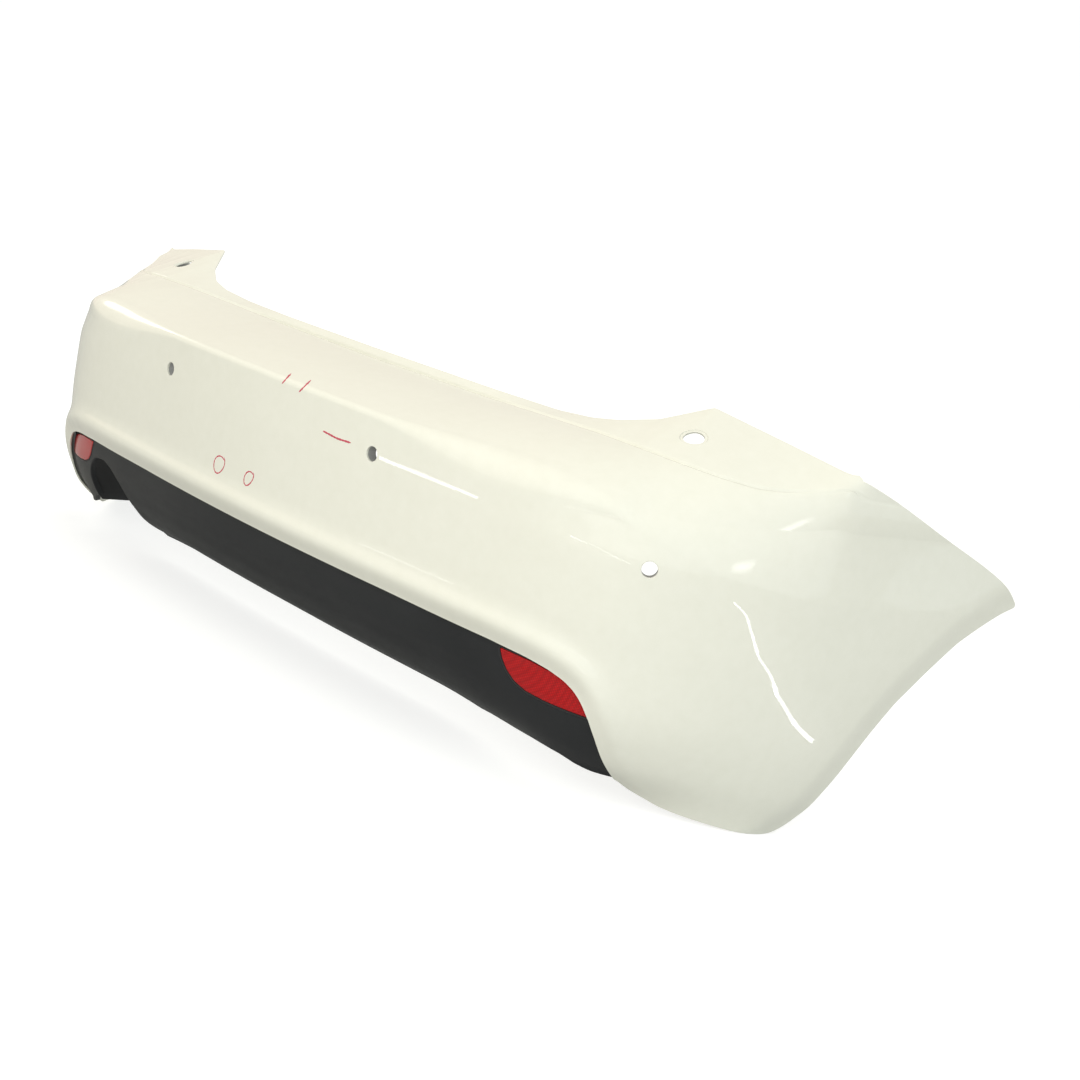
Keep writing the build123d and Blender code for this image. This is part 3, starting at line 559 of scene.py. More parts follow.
def make_lens():
    mt, nt, bs = new_mat("red_reflex_lens")
    tc = nt.nodes.new("ShaderNodeTexCoord")
    mp = nt.nodes.new("ShaderNodeMapping")
    mp.inputs["Rotation"].default_value = (0, math.radians(30), 0)
    nt.links.new(tc.outputs["Object"], mp.inputs["Vector"])
    vor = node(nt, "ShaderNodeTexVoronoi", Scale=330.0, Randomness=0.0)
    vor.feature = "F1"
    nt.links.new(mp.outputs["Vector"], vor.inputs["Vector"])
    cell = ramp(nt, vor.outputs["Distance"], [(0.1, (0.60, 0.006, 0.008)), (0.75, (0.30, 0.002, 0.004))])
    broad = noise(nt, 30.0, 2.0)
    color = mixc(nt, math_node(nt, "MULTIPLY", broad, 0.35), cell, (0.44, 0.004, 0.006))
    nt.links.new(color, bs.inputs["Base Color"])
    bs.inputs["Metallic"].default_value = 0.15
    bs.inputs["Roughness"].default_value = 0.34
    bs.inputs["Specular IOR Level"].default_value = 0.15
    nt.links.new(bump(nt, vor.outputs["Distance"], 0.0006, 0.45), bs.inputs["Normal"])
    bs.inputs["Coat Weight"].default_value = 0.85
    bs.inputs["Coat Roughness"].default_value = 0.02
    bs.inputs["Coat IOR"].default_value = 1.34
    return mt


def make_steel(name, dark, light, rough=0.32):
    mt, nt, bs = new_mat(name)
    cloud = noise(nt, 160.0, 4.0, 0.6)
    nt.links.new(ramp(nt, cloud, [(0.3, dark), (0.7, light)]), bs.inputs["Base Color"])
    bs.inputs["Metallic"].default_value = 1.0
    nt.links.new(math_node(nt, "MULTIPLY_ADD", noise(nt, 400.0, 3.0), 0.2, rough - 0.1), bs.inputs["Roughness"])
    nt.links.new(bump(nt, noise(nt, 1800.0, 2.0, 0.5, stretch=(1.0, 1.0, 0.15)), 0.00005, 0.5), bs.inputs["Normal"])
    return mt


def make_marker():
    mt, nt, bs = new_mat("grease_pencil_red")
    grain = noise(nt, 1500.0, 3.0, 0.7)
    nt.links.new(ramp(nt, grain, [(0.3, (0.45, 0.03, 0.07)), (0.7, (0.62, 0.10, 0.14))]), bs.inputs["Base Color"])
    bs.inputs["Roughness"].default_value = 0.7
    return mt


PAINT = make_paint()
INNER = make_inner()
DARK = make_grained("grained_dark_plastic", (0.012, 0.013, 0.015), (0.019, 0.020, 0.022), 0.44, 1.0, 800.0, 0.34)
BLACK = make_grained("matt_black_plastic", (0.012, 0.012, 0.013), (0.020, 0.020, 0.021), 0.55, 1.0, 900.0)
BARE = make_grained("bare_black_moulding", (0.024, 0.024, 0.025), (0.036, 0.036, 0.037), 0.42, 0.8, 1200.0)
NYLON = make_grained("black_nylon", (0.020, 0.020, 0.022), (0.030, 0.030, 0.032), 0.38, 0.6, 1600.0)
GREY = make_grained("grey_moulded_plastic", (0.34, 0.34, 0.335), (0.42, 0.42, 0.41), 0.5, 0.8, 1200.0)
LENS = make_lens()
ZINC = make_steel("zinc_plated_steel", (0.50, 0.50, 0.47), (0.66, 0.65, 0.60), 0.30)
SPRING = make_steel("phosphated_spring_steel", (0.16, 0.16, 0.17), (0.26, 0.26, 0.27), 0.42)
MARKER = make_marker()


# ------------------------------------------------------------------ painted skin
ZONES = sorted(n for n in frame["nodes"] if n.startswith("skin_") or n == "cover_skin")
half = [int(s / STEP) for s in (list(range(0, 540, 4)) + list(range(540, 724, 2)) + list(range(724, 2 * TIP, 4)))]
half = [k for k in half if k < TIP] + [TIP]
COLS = [(-1, k) for k in half[:0:-1]] + [(1, k) for k in half]
COL_S = np.array([sg * SG[k] for sg, k in COLS])
LOWS = np.array([VLOW[k] for _, k in COLS])
HIGHS = np.array([VHIGH[k] for _, k in COLS])

# holes: (station, row, radius, rings after the first as (radius, depth))
HOLES = []
for mount in frame["record"]["mounts"]:
    if mount["kind"] != "bore":
        continue
    pos = np.array(mount["pos_m"]) * 1000.0
    axis = np.array(mount["axis"])
    r = mount["dims"]["r_mm"]
    side = -1.0 if pos[0] < 0 else 1.0
    pt = pos * np.array((side, 1, 1)) + axis * np.array((side, 1, 1)) * 1.6
    dist = np.linalg.norm(XYZ - pt, axis=2)
    k, j = np.unravel_index(np.argmin(dist), dist.shape)
    HOLES.append(dict(s=side * SG[k], v=float(j), r=r, seat=r > 12, at=pos, axis=axis, name=mount["name"]))


def hole_ring(h, theta, radius):
    """Station and row of points on the skin at a distance from a hole's axis."""
    c, ax = h["at"], h["axis"]
    e1 = np.cross(ax, (0, 0, 1.0))
    e1 /= np.linalg.norm(e1)
    e2 = np.cross(ax, e1)
    s = np.full(len(theta), h["s"])
    v = np.full(len(theta), h["v"])
    want = np.stack([radius * np.cos(theta), radius * np.sin(theta)], 1)
    for _ in range(8):
        p, _n = surf(s, v)
        ps, _n = surf(s + 1.0, v)
        pv, _n = surf(s, v + 0.5)
        now = np.stack([(p - c) @ e1, (p - c) @ e2], 1)
        js = np.stack([(ps - p) @ e1, (ps - p) @ e2], 1)
        jv = np.stack([(pv - p) @ e1, (pv - p) @ e2], 1) / 0.5
        det = js[:, 0] * jv[:, 1] - js[:, 1] * jv[:, 0]
        err = want - now
        s = s + np.clip((err[:, 0] * jv[:, 1] - err[:, 1] * jv[:, 0]) / det, -6, 6)
        v = v + np.clip((js[:, 0] * err[:, 1] - js[:, 1] * err[:, 0]) / det, -3, 3)
    return s, v, e1, e2


def sheet(bd, depth, mat, hole_extra):
    """One side of the skin, as a grid of stations and rows cut exactly to its edges."""
    sgn = 1.0 if depth == 0 else -1.0
    ids = []
    edges_low, edges_high = [], []
    for c, (sg, k) in enumerate(COLS):
        lo, hi = LOWS[c], HIGHS[c]
        rows = [j for j in range(NR) if lo + 0.25 < j < hi - 0.25]
        vv = np.array([lo] + rows + [hi])
        p, n = surf(np.full(len(vv), COL_S[c]), vv)
        gap = np.minimum(np.abs(vv - lo), np.abs(hi - vv)) * 3.4
        w = np.exp(-gap / 16.0)
        got = bd.points(p - n * depth, n * sgn, w)
        col = {}
        for j in range(NR):
            if j <= lo + 0.25:
                col[j] = got[0]
            elif j >= hi - 0.25:
                col[j] = got[-1]
        for j, g in zip(rows, got[1:-1]):
            col[j] = g
        ids.append(col)
        edges_low.append(got[0])
        edges_high.append(got[-1])
    skip = set()
    for h in HOLES:
        rr = (18.5 if h["seat"] else h["r"] + 0.7) if hole_extra else h["r"]
        reach = (18.5 if h["seat"] else h["r"] + 0.7) * 1.45
        i0 = max(i for i in range(len(COLS)) if COL_S[i] < h["s"] - reach)
        i1 = min(i for i in range(len(COLS)) if COL_S[i] > h["s"] + reach)
        p0, _ = surf(h["s"], h["v"])
        j0 = int(h["v"])
        while j0 > 0 and np.linalg.norm(surf(h["s"], float(j0))[0] - p0) < reach:
            j0 -= 1
        j1 = int(h["v"]) + 1
        while j1 < NR - 1 and np.linalg.norm(surf(h["s"], float(j1))[0] - p0) < reach:
            j1 += 1
        for i in range(i0, i1):
            for j in range(j0, j1):
                skip.add((i, j))
        loop = ([(i, j0) for i in range(i0, i1)] + [(i1, j) for j in range(j0, j1)]
                + [(i, j1) for i in range(i1, i0, -1)] + [(i0, j) for j in range(j1, j0, -1)])
        vid = [ids[i][j] for i, j in loop]
        c, ax = h["at"], h["axis"]
        e1 = np.cross(ax, (0, 0, 1.0))
        e1 /= np.linalg.norm(e1)
        e2 = np.cross(ax, e1)
        ls = np.array([COL_S[i] for i, j in loop])
        lv = np.array([float(j) for i, j in loop])
        lp, _ = surf(ls, lv)
        theta = np.arctan2((lp - c) @ e2, (lp - c) @ e1)
        hs, hv, e1, e2 = hole_ring(h, theta, rr)
        prev = vid
        for f in (0.3, 0.6, 0.85, 1.0):
            s, v = ls + (hs - ls) * f, lv + (hv - lv) * f
            p, n = surf(s, v)
            ring = bd.points(p - n * depth, n * sgn, 0.0)
            bd.strip(prev, ring, mat, closed=True)
            prev = ring
        if not hole_extra:
            continue
        # rounded edge, seat and bore
        p, n = surf(hs, hv)
        rad = np.cos(theta)[:, None] * e1 + np.sin(theta)[:, None] * e2
        r = h["r"]
        prof = []
        if h["seat"]:
            prof += [(18.35, 0.06, 0.8), (18.0, 0.45, 0.15), (17.7, 1.0, 0.5), (17.2, 1.1, 1.0),
                     (r + 0.9, 1.1, 1.0)]
            base = 1.1
        else:
            base = 0.0
        prof += [(r + 0.32, base + 0.12, 0.75), (r + 0.06, base + 0.36, 0.3), (r, base + 0.75, 0.0), (r, SKIN_T + 0.2, 0.0)]
        rings = [bd.points(p, n, 0.0)]
        for q, dep, up_ in prof:
            pos = p + rad * (q - rr) - n * dep
            nn = n * up_ - rad * math.sqrt(max(0.0, 1 - up_ * up_))
            if h["seat"] and dep <= 1.0 and q > 17.5:
                nn = n * up_ - rad * math.sqrt(max(0.0, 1 - up_ * up_))
            rings.append(bd.points(pos, nn, 0.0))
        for a_, b_ in zip(rings, rings[1:]):
            bd.strip(a_, b_, mat, closed=True)
    for i in range(len(COLS) - 1):
        a_, b_ = ids[i], ids[i + 1]
        for j in range(NR - 1):
            if (i, j) in skip:
                continue
            q = [a_[j], b_[j], b_[j + 1], a_[j + 1]]
            if len(set(q)) >= 3:
                bd.face(q, mat)
    return edges_low, edges_high


def rim(bd, which, mat):
    """Rounded edge along the low or high border of the skin."""
    vv = LOWS if which == "low" else HIGHS
    p, n = surf(COL_S, vv)
    tan = np.gradient(p, axis=0)
    tan /= np.maximum(np.linalg.norm(tan, axis=1, keepdims=True), 1e-9)
    out = np.cross(n, tan)
    inner, _ = surf(COL_S, np.clip(vv + (1.5 if which == "low" else -1.5), 0, NR - 1))
    flip = np.sign(((p - inner) * out).sum(1))
    flip[flip == 0] = 1
    out *= flip[:, None]
    out = smooth(out, 1.0, 0)
    out /= np.linalg.norm(out, axis=1, keepdims=True)
    prof = [(0.0, 0.0, 90), (0.34, 0.10, 62), (0.60, 0.38, 32), (0.70, 0.8, 0), (0.70, SKIN_T - 0.8, 0),
            (0.60, SKIN_T - 0.38, -32), (0.34, SKIN_T - 0.10, -62), (0.0, SKIN_T, -90)]
    rows = []
    for e, dep, ang in prof:
        a = math.radians(ang)
        rows.append(bd.points(p + out * e - n * dep, n * math.sin(a) + out * math.cos(a), 1.0))
    for a_, b_ in zip(rows, rows[1:]):
        bd.strip(a_, b_, mat)
    return p, n, out


skin = Builder()
sheet(skin, 0.0, 0, True)
OUTER_FACES = [tuple(f) for f in skin.f if len(f) in (3, 4)]
sheet(skin, SKIN_T, 1, False)
low_p, low_n, low_out = rim(skin, "low", 0)
rim(skin, "high", 0)

# return flange round each wheel arch, turned towards the middle of the car
for side in (-1, 1):
    k = [c for c, (sg, q) in enumerate(COLS) if sg == side and IS_ARCH[q]]
    p = low_p[k]
    out = low_out[k].copy()
    out[:, 0] = 0
    out /= np.linalg.norm(out, axis=1, keepdims=True)
    inwards = np.tile(np.array((-side, 0.0, 0.0)), (len(k), 1))
    prof = [(0.9, 0.70, 0.0, 1.0), (2.0, 0.72, 0.0, 1.0), (6.0, 0.3, 0.0, 1.0), (ARCH_FLANGE - 4.0, 0.15, 0.0, 1.0),
            (ARCH_FLANGE - 0.9, 0.15, 0.0, 1.0), (ARCH_FLANGE - 0.15, -0.15, 0.7, 0.7), (ARCH_FLANGE, -0.9, 1.0, 0.0),
            (ARCH_FLANGE, 0.9 - SKIN_T, 1.0, 0.0), (ARCH_FLANGE - 0.2, -SKIN_T + 0.1, 0.7, -0.7),
            (ARCH_FLANGE - 0.9, -SKIN_T, 0.0, -1.0), (6.0, -SKIN_T, 0.0, -1.0), (2.4, -SKIN_T, 0.0, -1.0)]
    rows = []
    for dx, dn, nx, no in prof:
        rows.append(skin.points(p + inwards * dx + out * dn, inwards * nx + out * no, 0.9))
    for q, (a_, b_) in enumerate(zip(rows, rows[1:])):
        skin.strip(a_, b_, 0 if q < 7 else 1)
cover = skin.build("cover_skin_painted", [PAINT, INNER])
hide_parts(*ZONES)
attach(cover, "cover")

# ------------------------------------------------------------------ lower insert
IZ = np.arange(18.0, 190.1, 2.4)
IK = np.arange(0, 352)
IF = mono(INS_S, np.array([mono(INS_Z, row, IZ) for row in INS]), SG[IK])
IF = smooth(smooth(IF, 8, 0, mirror=True), 1.2, 1)


def closed_line(pts, step, sigma):
    """Evenly spaced, slightly rounded closed outline."""
    a = np.array(list(pts) + [pts[0]], float)
    ln = np.concatenate([[0], np.cumsum(np.linalg.norm(np.diff(a, axis=0), axis=1))])
    n = int(ln[-1] / step)
    u = np.arange(n) / n * ln[-1]
    q = np.stack([np.interp(u, ln, a[:, 0]), np.interp(u, ln, a[:, 1])], 1)
    r = int(4 * sigma / step) + 1
    k = np.exp(-0.5 * (np.arange(-r, r + 1) * step / sigma) ** 2)
    k /= k.sum()
    return sum(k[j + r] * np.roll(q, j, axis=0) for j in range(-r, r + 1))


REFL_LINE = closed_line(REFL, 1.2, 2.2)


def outline_distance(x, z, line):
    """Signed distance to a closed outline, negative inside."""
    x, z = np.asarray(x), np.asarray(z)
    best = np.full(x.shape, 1e9)
    inside = np.zeros(x.shape, bool)
    for (a, b), (c, d) in zip(line, np.roll(line, -1, axis=0)):
        us, uz = c - a, d - b
        t = np.clip(((x - a) * us + (z - b) * uz) / (us * us + uz * uz + 1e-12), 0, 1)
        best = np.minimum(best, np.hypot(x - a - us * t, z - b - uz * t))
        cross = ((b > z) != (d > z)) & (x < (c - a) * (z - b) / (d - b + 1e-12) + a)
        inside ^= cross
    return np.where(inside, -best, best)


ins_x = PX[IK][:, None] + DX[IK][:, None] * IF
ins_y = PY[IK][:, None] + DY[IK][:, None] * IF + Y_SHIFT
INS_XYZ = np.stack([ins_x, ins_y, np.broadcast_to(IZ + Z_SHIFT, ins_x.shape)], 2)
_n = np.cross(np.gradient(INS_XYZ, axis=0), np.gradient(INS_XYZ, axis=1))
INS_N = _n / np.linalg.norm(_n, axis=2, keepdims=True)
if INS_N[20, 30, 1] > 0:
    INS_N = -INS_N


def insert_at(x, z):
    """Point and normal of the insert's outer face for a place seen from behind (x, z before the lift)."""
    x, z = np.atleast_1d(x).astype(float), np.atleast_1d(z).astype(float)
    side = np.where(x < 0, -1.0, 1.0)
    b = np.clip((z - IZ[0]) / (IZ[1] - IZ[0]), 0, len(IZ) - 1.001)
    j = b.astype(int)
    f = b - j
    p, n = np.zeros((len(x), 3)), np.zeros((len(x), 3))
    for q in range(len(x)):
        line = INS_XYZ[:, j[q]] * (1 - f[q]) + INS_XYZ[:, j[q] + 1] * f[q]
        nl = INS_N[:, j[q]] * (1 - f[q]) + INS_N[:, j[q] + 1] * f[q]
        for k in range(3):
            p[q, k] = np.interp(abs(x[q]), line[:, 0], line[:, k])
            n[q, k] = np.interp(abs(x[q]), line[:, 0], nl[:, k])
    p[:, 0] *= side
    n[:, 0] *= side
    return p, n / np.linalg.norm(n, axis=1, keepdims=True)


ins = Builder()
i_half = [k for k in range(0, 351) if k % 2 == 0 or k > 185]
I_COLS = [(-1, k) for k in i_half[:0:-1]] + [(1, k) for k in i_half]
_sd = outline_distance(ins_x, np.broadcast_to(IZ, ins_x.shape), REFL_LINE)
_q = np.clip((1.9 - _sd) / 2.4, 0, 1)
RECESS = 3.2 * _q * _q * (3 - 2 * _q)
notch = sorted((x, z) for x, z in EXHAUST[1:-1])
i_low = []
for sg, k in I_COLS:
    x = sg * (PX[k] + DX[k] * 60)
    z = 18.0
    if -533 < x < -388:
        z = float(mono([p[0] + 0.001 * i for i, p in enumerate(notch)], [p[1] for p in notch], x))
    elif -600 < x <= -533:
        q = (x + 600) / 67
        z = 18.0 + 24.0 * q * q * (3 - 2 * q)
    elif x > 400:
        z += float(mono([400, 439, 484, 528, 565, 593, 616, 900], [0, 3.4, 6.0, 9.7, 8.2, 2.5, 0, 0], x))
    i_low.append((z - IZ[0]) / (IZ[1] - IZ[0]))
i_low = np.array(i_low)


def ins_point(sg, k, v):
    v = np.clip(np.asarray(v, float), 0, len(IZ) - 1.001)
    j = v.astype(int)
    f = (v - j)[:, None]
    p = INS_XYZ[k, j] * (1 - f) + INS_XYZ[k, j + 1] * f
    n = INS_N[k, j] * (1 - f) + INS_N[k, j + 1] * f
    r = (RECESS[k, j] * (1 - f[:, 0]) + RECESS[k, j + 1] * f[:, 0])[:, None]
    flip = np.array((sg, 1.0, 1.0))
    return (p - n * r) * flip, n * flip


for depth, mat, sgn in ((0.0, 0, 1.0), (INSERT_T, 1, -1.0)):
    cols, low_ids, high_ids = [], [], []
    for c, (sg, k) in enumerate(I_COLS):
        lo = i_low[c]
        rows = [j for j in range(len(IZ) - 1) if j > lo + 0.2]
        vv = np.array([lo] + rows + [len(IZ) - 1])
        p, n = ins_point(sg, k, vv)
        got = ins.points(p - n * depth, n * sgn, 0.0)
        col = {j: got[0] for j in range(len(IZ)) if j <= lo + 0.2}
        for j, g in zip(rows, got[1:-1]):
            col[j] = g
        col[len(IZ) - 1] = got[-1]
        cols.append(col)
    for a_, b_ in zip(cols, cols[1:]):
        for j in range(len(IZ) - 1):
            q = [a_[j], b_[j], b_[j + 1], a_[j + 1]]
            if len(set(q)) >= 3:
                ins.face(q, mat)


def ins_rim(vv, high):
    pts, nrm = [], []
    for c, (sg, k) in enumerate(I_COLS):
        p, n = ins_point(sg, k, np.array([vv[c]]))
        pts.append(p[0])
        nrm.append(n[0])
    p, n = np.array(pts), np.array(nrm)
    tan = np.gradient(p, axis=0)
    tan /= np.linalg.norm(tan, axis=1, keepdims=True)
    out = np.cross(n, tan)
    ref = np.array((0, -0.3, 1.0)) if high else np.array((0, 0.6, -1.0))
    out *= np.sign(out @ ref)[:, None]
    # rolled edge: a soft radius that turns back behind the face
    if high:
        prof = [(0, 0, 90), (0.5, 0.3, 45), (0.7, 1.0, 0), (0.7, INSERT_T - 1.0, 0), (0.5, INSERT_T - 0.3, -45), (0, INSERT_T, -90)]
    else:
        prof = [(0, 0, 90), (1.1, 0.18, 66), (2.1, 0.8, 42), (2.8, 1.8, 18), (3.0, 3.2, 0), (3.0, 8.5, 0),
                (2.4, 9.2, -60), (1.4, 9.0, -120), (0.9, 8.0, -180), (0.5, INSERT_T + 0.4, -180), (-1.5, INSERT_T, -90)]
    rows = []
    for e, dep, ang in prof:
        a = math.radians(ang)
        rows.append(ins.points(p + out * e - n * dep, n * math.sin(a) + out * math.cos(a), 1.0))
    for a_, b_ in zip(rows, rows[1:]):
        ins.strip(a_, b_, 0)


ins_rim(i_low, False)
ins_rim(np.full(len(I_COLS), len(IZ) - 1.0), True)
insert = ins.build("lower_insert_grained", [DARK, BARE])
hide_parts("lower_insert")
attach(insert, "cover")

# ------------------------------------------------------------------ reflectors
def offset_closed(line, d):
    """Shift a closed outline outward by d."""
    tan = np.roll(line, -1, axis=0) - np.roll(line, 1, axis=0)
    tan /= np.linalg.norm(tan, axis=1, keepdims=True)
    nrm = np.stack([tan[:, 1], -tan[:, 0]], 1)
    area = 0.5 * np.sum(line[:, 0] * np.roll(line[:, 1], -1) - np.roll(line[:, 0], -1) * line[:, 1])
    return line + nrm * (d if area > 0 else -d)


for side, word in ((-1, "left"), (1, "right")):
    mid = REFL_LINE.mean(0)
    lens = Builder()
    edge = offset_closed(REFL_LINE, -0.5)

    def lens_ring(line, lift, tilt):
        p, n = insert_at(side * line[:, 0], line[:, 1])
        tan = np.roll(p, -1, axis=0) - np.roll(p, 1, axis=0)
        tan /= np.linalg.norm(tan, axis=1, keepdims=True)
        out = np.cross(tan, n)
        out *= np.sign(((p - p.mean(0)) * out).sum(1).mean())
        a = math.radians(tilt)
        return lens.points(p + n * lift, n * math.sin(a) + out * math.cos(a), 0.0)

    rings = [lens_ring(edge, -2.8, 0), lens_ring(edge, -0.5, 0), lens_ring(edge, -0.1, 20),
             lens_ring(offset_closed(REFL_LINE, -0.75), 0.25, 48), lens_ring(offset_closed(REFL_LINE, -1.25), 0.5, 72),
             lens_ring(offset_closed(REFL_LINE, -2.2), 0.66, 88)]
    inner = offset_closed(REFL_LINE, -2.2)
    for f in (0.93, 0.82, 0.66, 0.48, 0.3, 0.12):
        rings.append(lens_ring(mid + (inner - mid) * f, 0.66 + 0.5 * (1 - f), 90))
    for a_, b_ in zip(rings, rings[1:]):
        lens.strip(a_, b_, 0, closed=True)
    lens.face(rings[-1], 0)
    piece = lens.build("reflector_lens_%s_prismatic" % word, [LENS])
    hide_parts("reflector_lens_" + word)
    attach(piece, "cover")

    # frame round the reflector, moulded on the insert
    bez = Builder()
    prof = [(0.2, -2.0, 180), (0.2, 0.15, 170), (0.5, 0.55, 120), (1.1, 0.7, 90), (1.8, 0.55, 60), (2.5, 0.1, 40), (3.0, -0.4, 30)]
    rings = []
    for off, lift, tilt in prof:
        line = offset_closed(REFL_LINE, off)
        p, n = insert_at(side * line[:, 0], line[:, 1])
        tan = np.roll(p, -1, axis=0) - np.roll(p, 1, axis=0)
        tan /= np.linalg.norm(tan, axis=1, keepdims=True)
        out = np.cross(tan, n)
        out *= np.sign(((p - p.mean(0)) * out).sum(1).mean())
        a = math.radians(tilt)
        rings.append(bez.points(p + n * lift, n * math.sin(a) + out * math.cos(a), 0.0))
    for a_, b_ in zip(rings, rings[1:]):
        bez.strip(a_, b_, 0, closed=True)
    piece = bez.build("reflector_frame_" + word, [BLACK])
    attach(piece, "cover")

# ------------------------------------------------------------------ shield behind the exhaust notch
shield_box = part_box("exhaust_shield")
back_y = shield_box[1].y * 1000.0
line = np.array(EXHAUST[1:-1], float)
ln = np.concatenate([[0], np.cumsum(np.linalg.norm(np.diff(line, axis=0), axis=1))])
u = np.linspace(0, ln[-1], 90)
line = np.stack([np.interp(u, ln, line[:, 0]), np.interp(u, ln, line[:, 1])], 1)
line[1:-1] = smooth(line, 2.0, 0)[1:-1]
line = np.vstack([line[0] + [0, -24], line[0] + [0, -12], line, line[-1] + [0, -6], line[-1] + [0, -12]])
tan = np.gradient(line, axis=0)
tan /= np.linalg.norm(tan, axis=1, keepdims=True)
side_n = np.stack([tan[:, 1], -tan[:, 0]], 1)
if (line[len(line) // 2] - line.mean(0)) @ side_n[len(line) // 2] < 0:
    side_n = -side_n
sh = Builder()
rows = []
prof = [(1.2, 0.0, "in"), (1.2, 1.0, "in"), (1.2, 1.0, "end"), (3.6, 1.0, "end"), (3.6, 1.0, "out"), (3.6, 0.0, "out")]
face_rows = {}
for off in (1.2, 3.6):
    q = line + side_n * off
    p, n = insert_at(q[:, 0], np.clip(q[:, 1], 20, 185))
    front = p[:, 1] + 3.4
    ys = np.linspace(0, 1, 22)
    face_rows[off] = []
    for f in ys:
        y = front + (back_y - front) * f
        # moulded ribs run round the wall
        rib = 0.5 * max(0.0, math.cos(f * math.pi * 14)) ** 8 * (1 if off > 2 else -0.35)
        q2 = line + side_n * (off + rib)
        pts = np.stack([q2[:, 0], y, q2[:, 1] + Z_SHIFT], 1)
        nn = np.stack([side_n[:, 0], np.zeros(len(q)), side_n[:, 1]], 1) * (1 if off > 2 else -1)
        face_rows[off].append(sh.points(pts, nn, 0.0))
    for a_, b_ in zip(face_rows[off], face_rows[off][1:]):
        sh.strip(a_, b_, 0)
for f, ny in ((0, -1.0), (-1, 1.0)):
    a_ = sh.points(np.array(sh.v)[face_rows[1.2][f]], np.array((0, ny, 0)), 0.0)
    b_ = sh.points(np.array(sh.v)[face_rows[3.6][f]], np.array((0, ny, 0)), 0.0)
    sh.strip(a_, b_, 0)
shield = sh.build("exhaust_shield_ribbed", [BLACK])
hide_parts("exhaust_shield")
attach(shield, "cover")

# ------------------------------------------------------------------ CAD nodes that stay, with better materials
KEEP = {"reflector_base_left": BLACK, "reflector_base_right": BLACK, "joint_bosses": BARE, "rivet_bodies": NYLON,
        "insert_screws": ZINC, "arch_nuts_left": SPRING, "arch_nuts_right": SPRING}
for i in range(1, 5):
    KEEP["sensor_holder_%d" % i] = GREY
    KEEP["rivet_pin_%d" % i] = NYLON
for name, mt in KEEP.items():
    obj = frame["nodes"][name]
    for k in range(max(1, len(obj.material_slots))):
        if not obj.material_slots:
            obj.data.materials.append(mt)
        obj.material_slots[k].material = mt

# ------------------------------------------------------------------ pencil marks on the paint
from mathutils.bvhtree import BVHTree

skin_tree = BVHTree.FromPolygons([tuple(v) for v in skin.v], OUTER_FACES)
marks = Builder()
eye = camera.matrix_world.translation * 1000.0


def stroke(points, width=2.6):
    """A waxy line drawn on the skin through the given points (mm)."""
    a = np.array(points, float)
    ln = np.concatenate([[0], np.cumsum(np.linalg.norm(np.diff(a, axis=0), axis=1))])
    u = np.linspace(0, ln[-1], max(8, int(ln[-1] / 1.5)))
    q = np.stack([np.interp(u, ln, a[:, c]) for c in range(3)], 1)
    q[1:-1] = smooth(q, 2.0, 0)[1:-1]
    hits, nrm = [], []
    for r in q:
        where, n, _i, _d = skin_tree.ray_cast(eye, (Vector(r) - eye).normalized())
        if where is None:
            where, n, _i, _d = skin_tree.find_nearest(Vector(r))
        n = np.array(n)
        if n @ np.array((0.0, -0.5, 0.85)) < 0:
            n = -n
        hits.append(np.array(where))
        nrm.append(n)
    p, n = np.array(hits), np.array(nrm)
    tan = np.gradient(p, axis=0)
    tan /= np.maximum(np.linalg.norm(tan, axis=1, keepdims=True), 1e-9)
    across = np.cross(n, tan)
    k = np.arange(len(p))
    w = width * 0.5 * (1 + 0.18 * np.sin(k * 1.7) + 0.10 * np.sin(k * 0.61 + 1.0))
    w *= np.clip(np.minimum(k + 1, len(p) - k) / 3.0, 0.35, 1.0)
    rows = [marks.points(p + across * (w * f)[:, None] + n * h, n + across * f * 0.3, 0.0)
            for f, h in ((-1, 0.03), (-0.6, 0.14), (0.0, 0.18), (0.6, 0.14), (1, 0.03))]
    for a_, b_ in zip(rows, rows[1:]):
        marks.strip(a_, b_, 0)


def ring(cx_, cz_, rx, rz, lean):
    pts = []
    for k in range(41):
        a = math.tau * (k / 38.0) + 0.7
        r = 1.0 + 0.05 * math.sin(3 * a) + 0.004 * k
        dx, dz = rx * r * math.cos(a), rz * r * math.sin(a)
        pts.append((cx_ + dx + lean * dz, -322.0, cz_ + dz))
    return pts


stroke([(41.0, -335.0, 386.0), (32.6, -316.7, 400.4)])
stroke([(79.5, -334.2, 383.7), (72.9, -312.9, 401.4)])
stroke([(140.7, -329.4, 345.3), (170.0, -327.8, 342.9), (197.6, -326.4, 344.4)])
stroke(ring(-75.4, 238.1, 11.5, 12.5, 0.1), 1.9)
stroke(ring(-2.2, 238.1, 9.0, 10.5, 0.25), 1.9)
marked = marks.build("inspection_marks", [MARKER])
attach(marked, "cover")

# ------------------------------------------------------------------ floor and light
def floor_material():
    mt, nt, bs = new_mat("pale_floor")
    nt.links.new(ramp(nt, noise(nt, 1.5, 3.0), [(0.3, (0.53, 0.54, 0.54)), (0.7, (0.56, 0.57, 0.57))]), bs.inputs["Base Color"])
    bs.inputs["Roughness"].default_value = 0.9
    bs.inputs["Specular IOR Level"].default_value = 0.1
    path = nt.nodes.new("ShaderNodeLightPath")
    bs.inputs["Emission Color"].default_value = (1.0, 1.0, 1.0, 1)
    nt.links.new(math_node(nt, "MULTIPLY", path.outputs["Is Camera Ray"], 0.62), bs.inputs["Emission Strength"])
    return mt


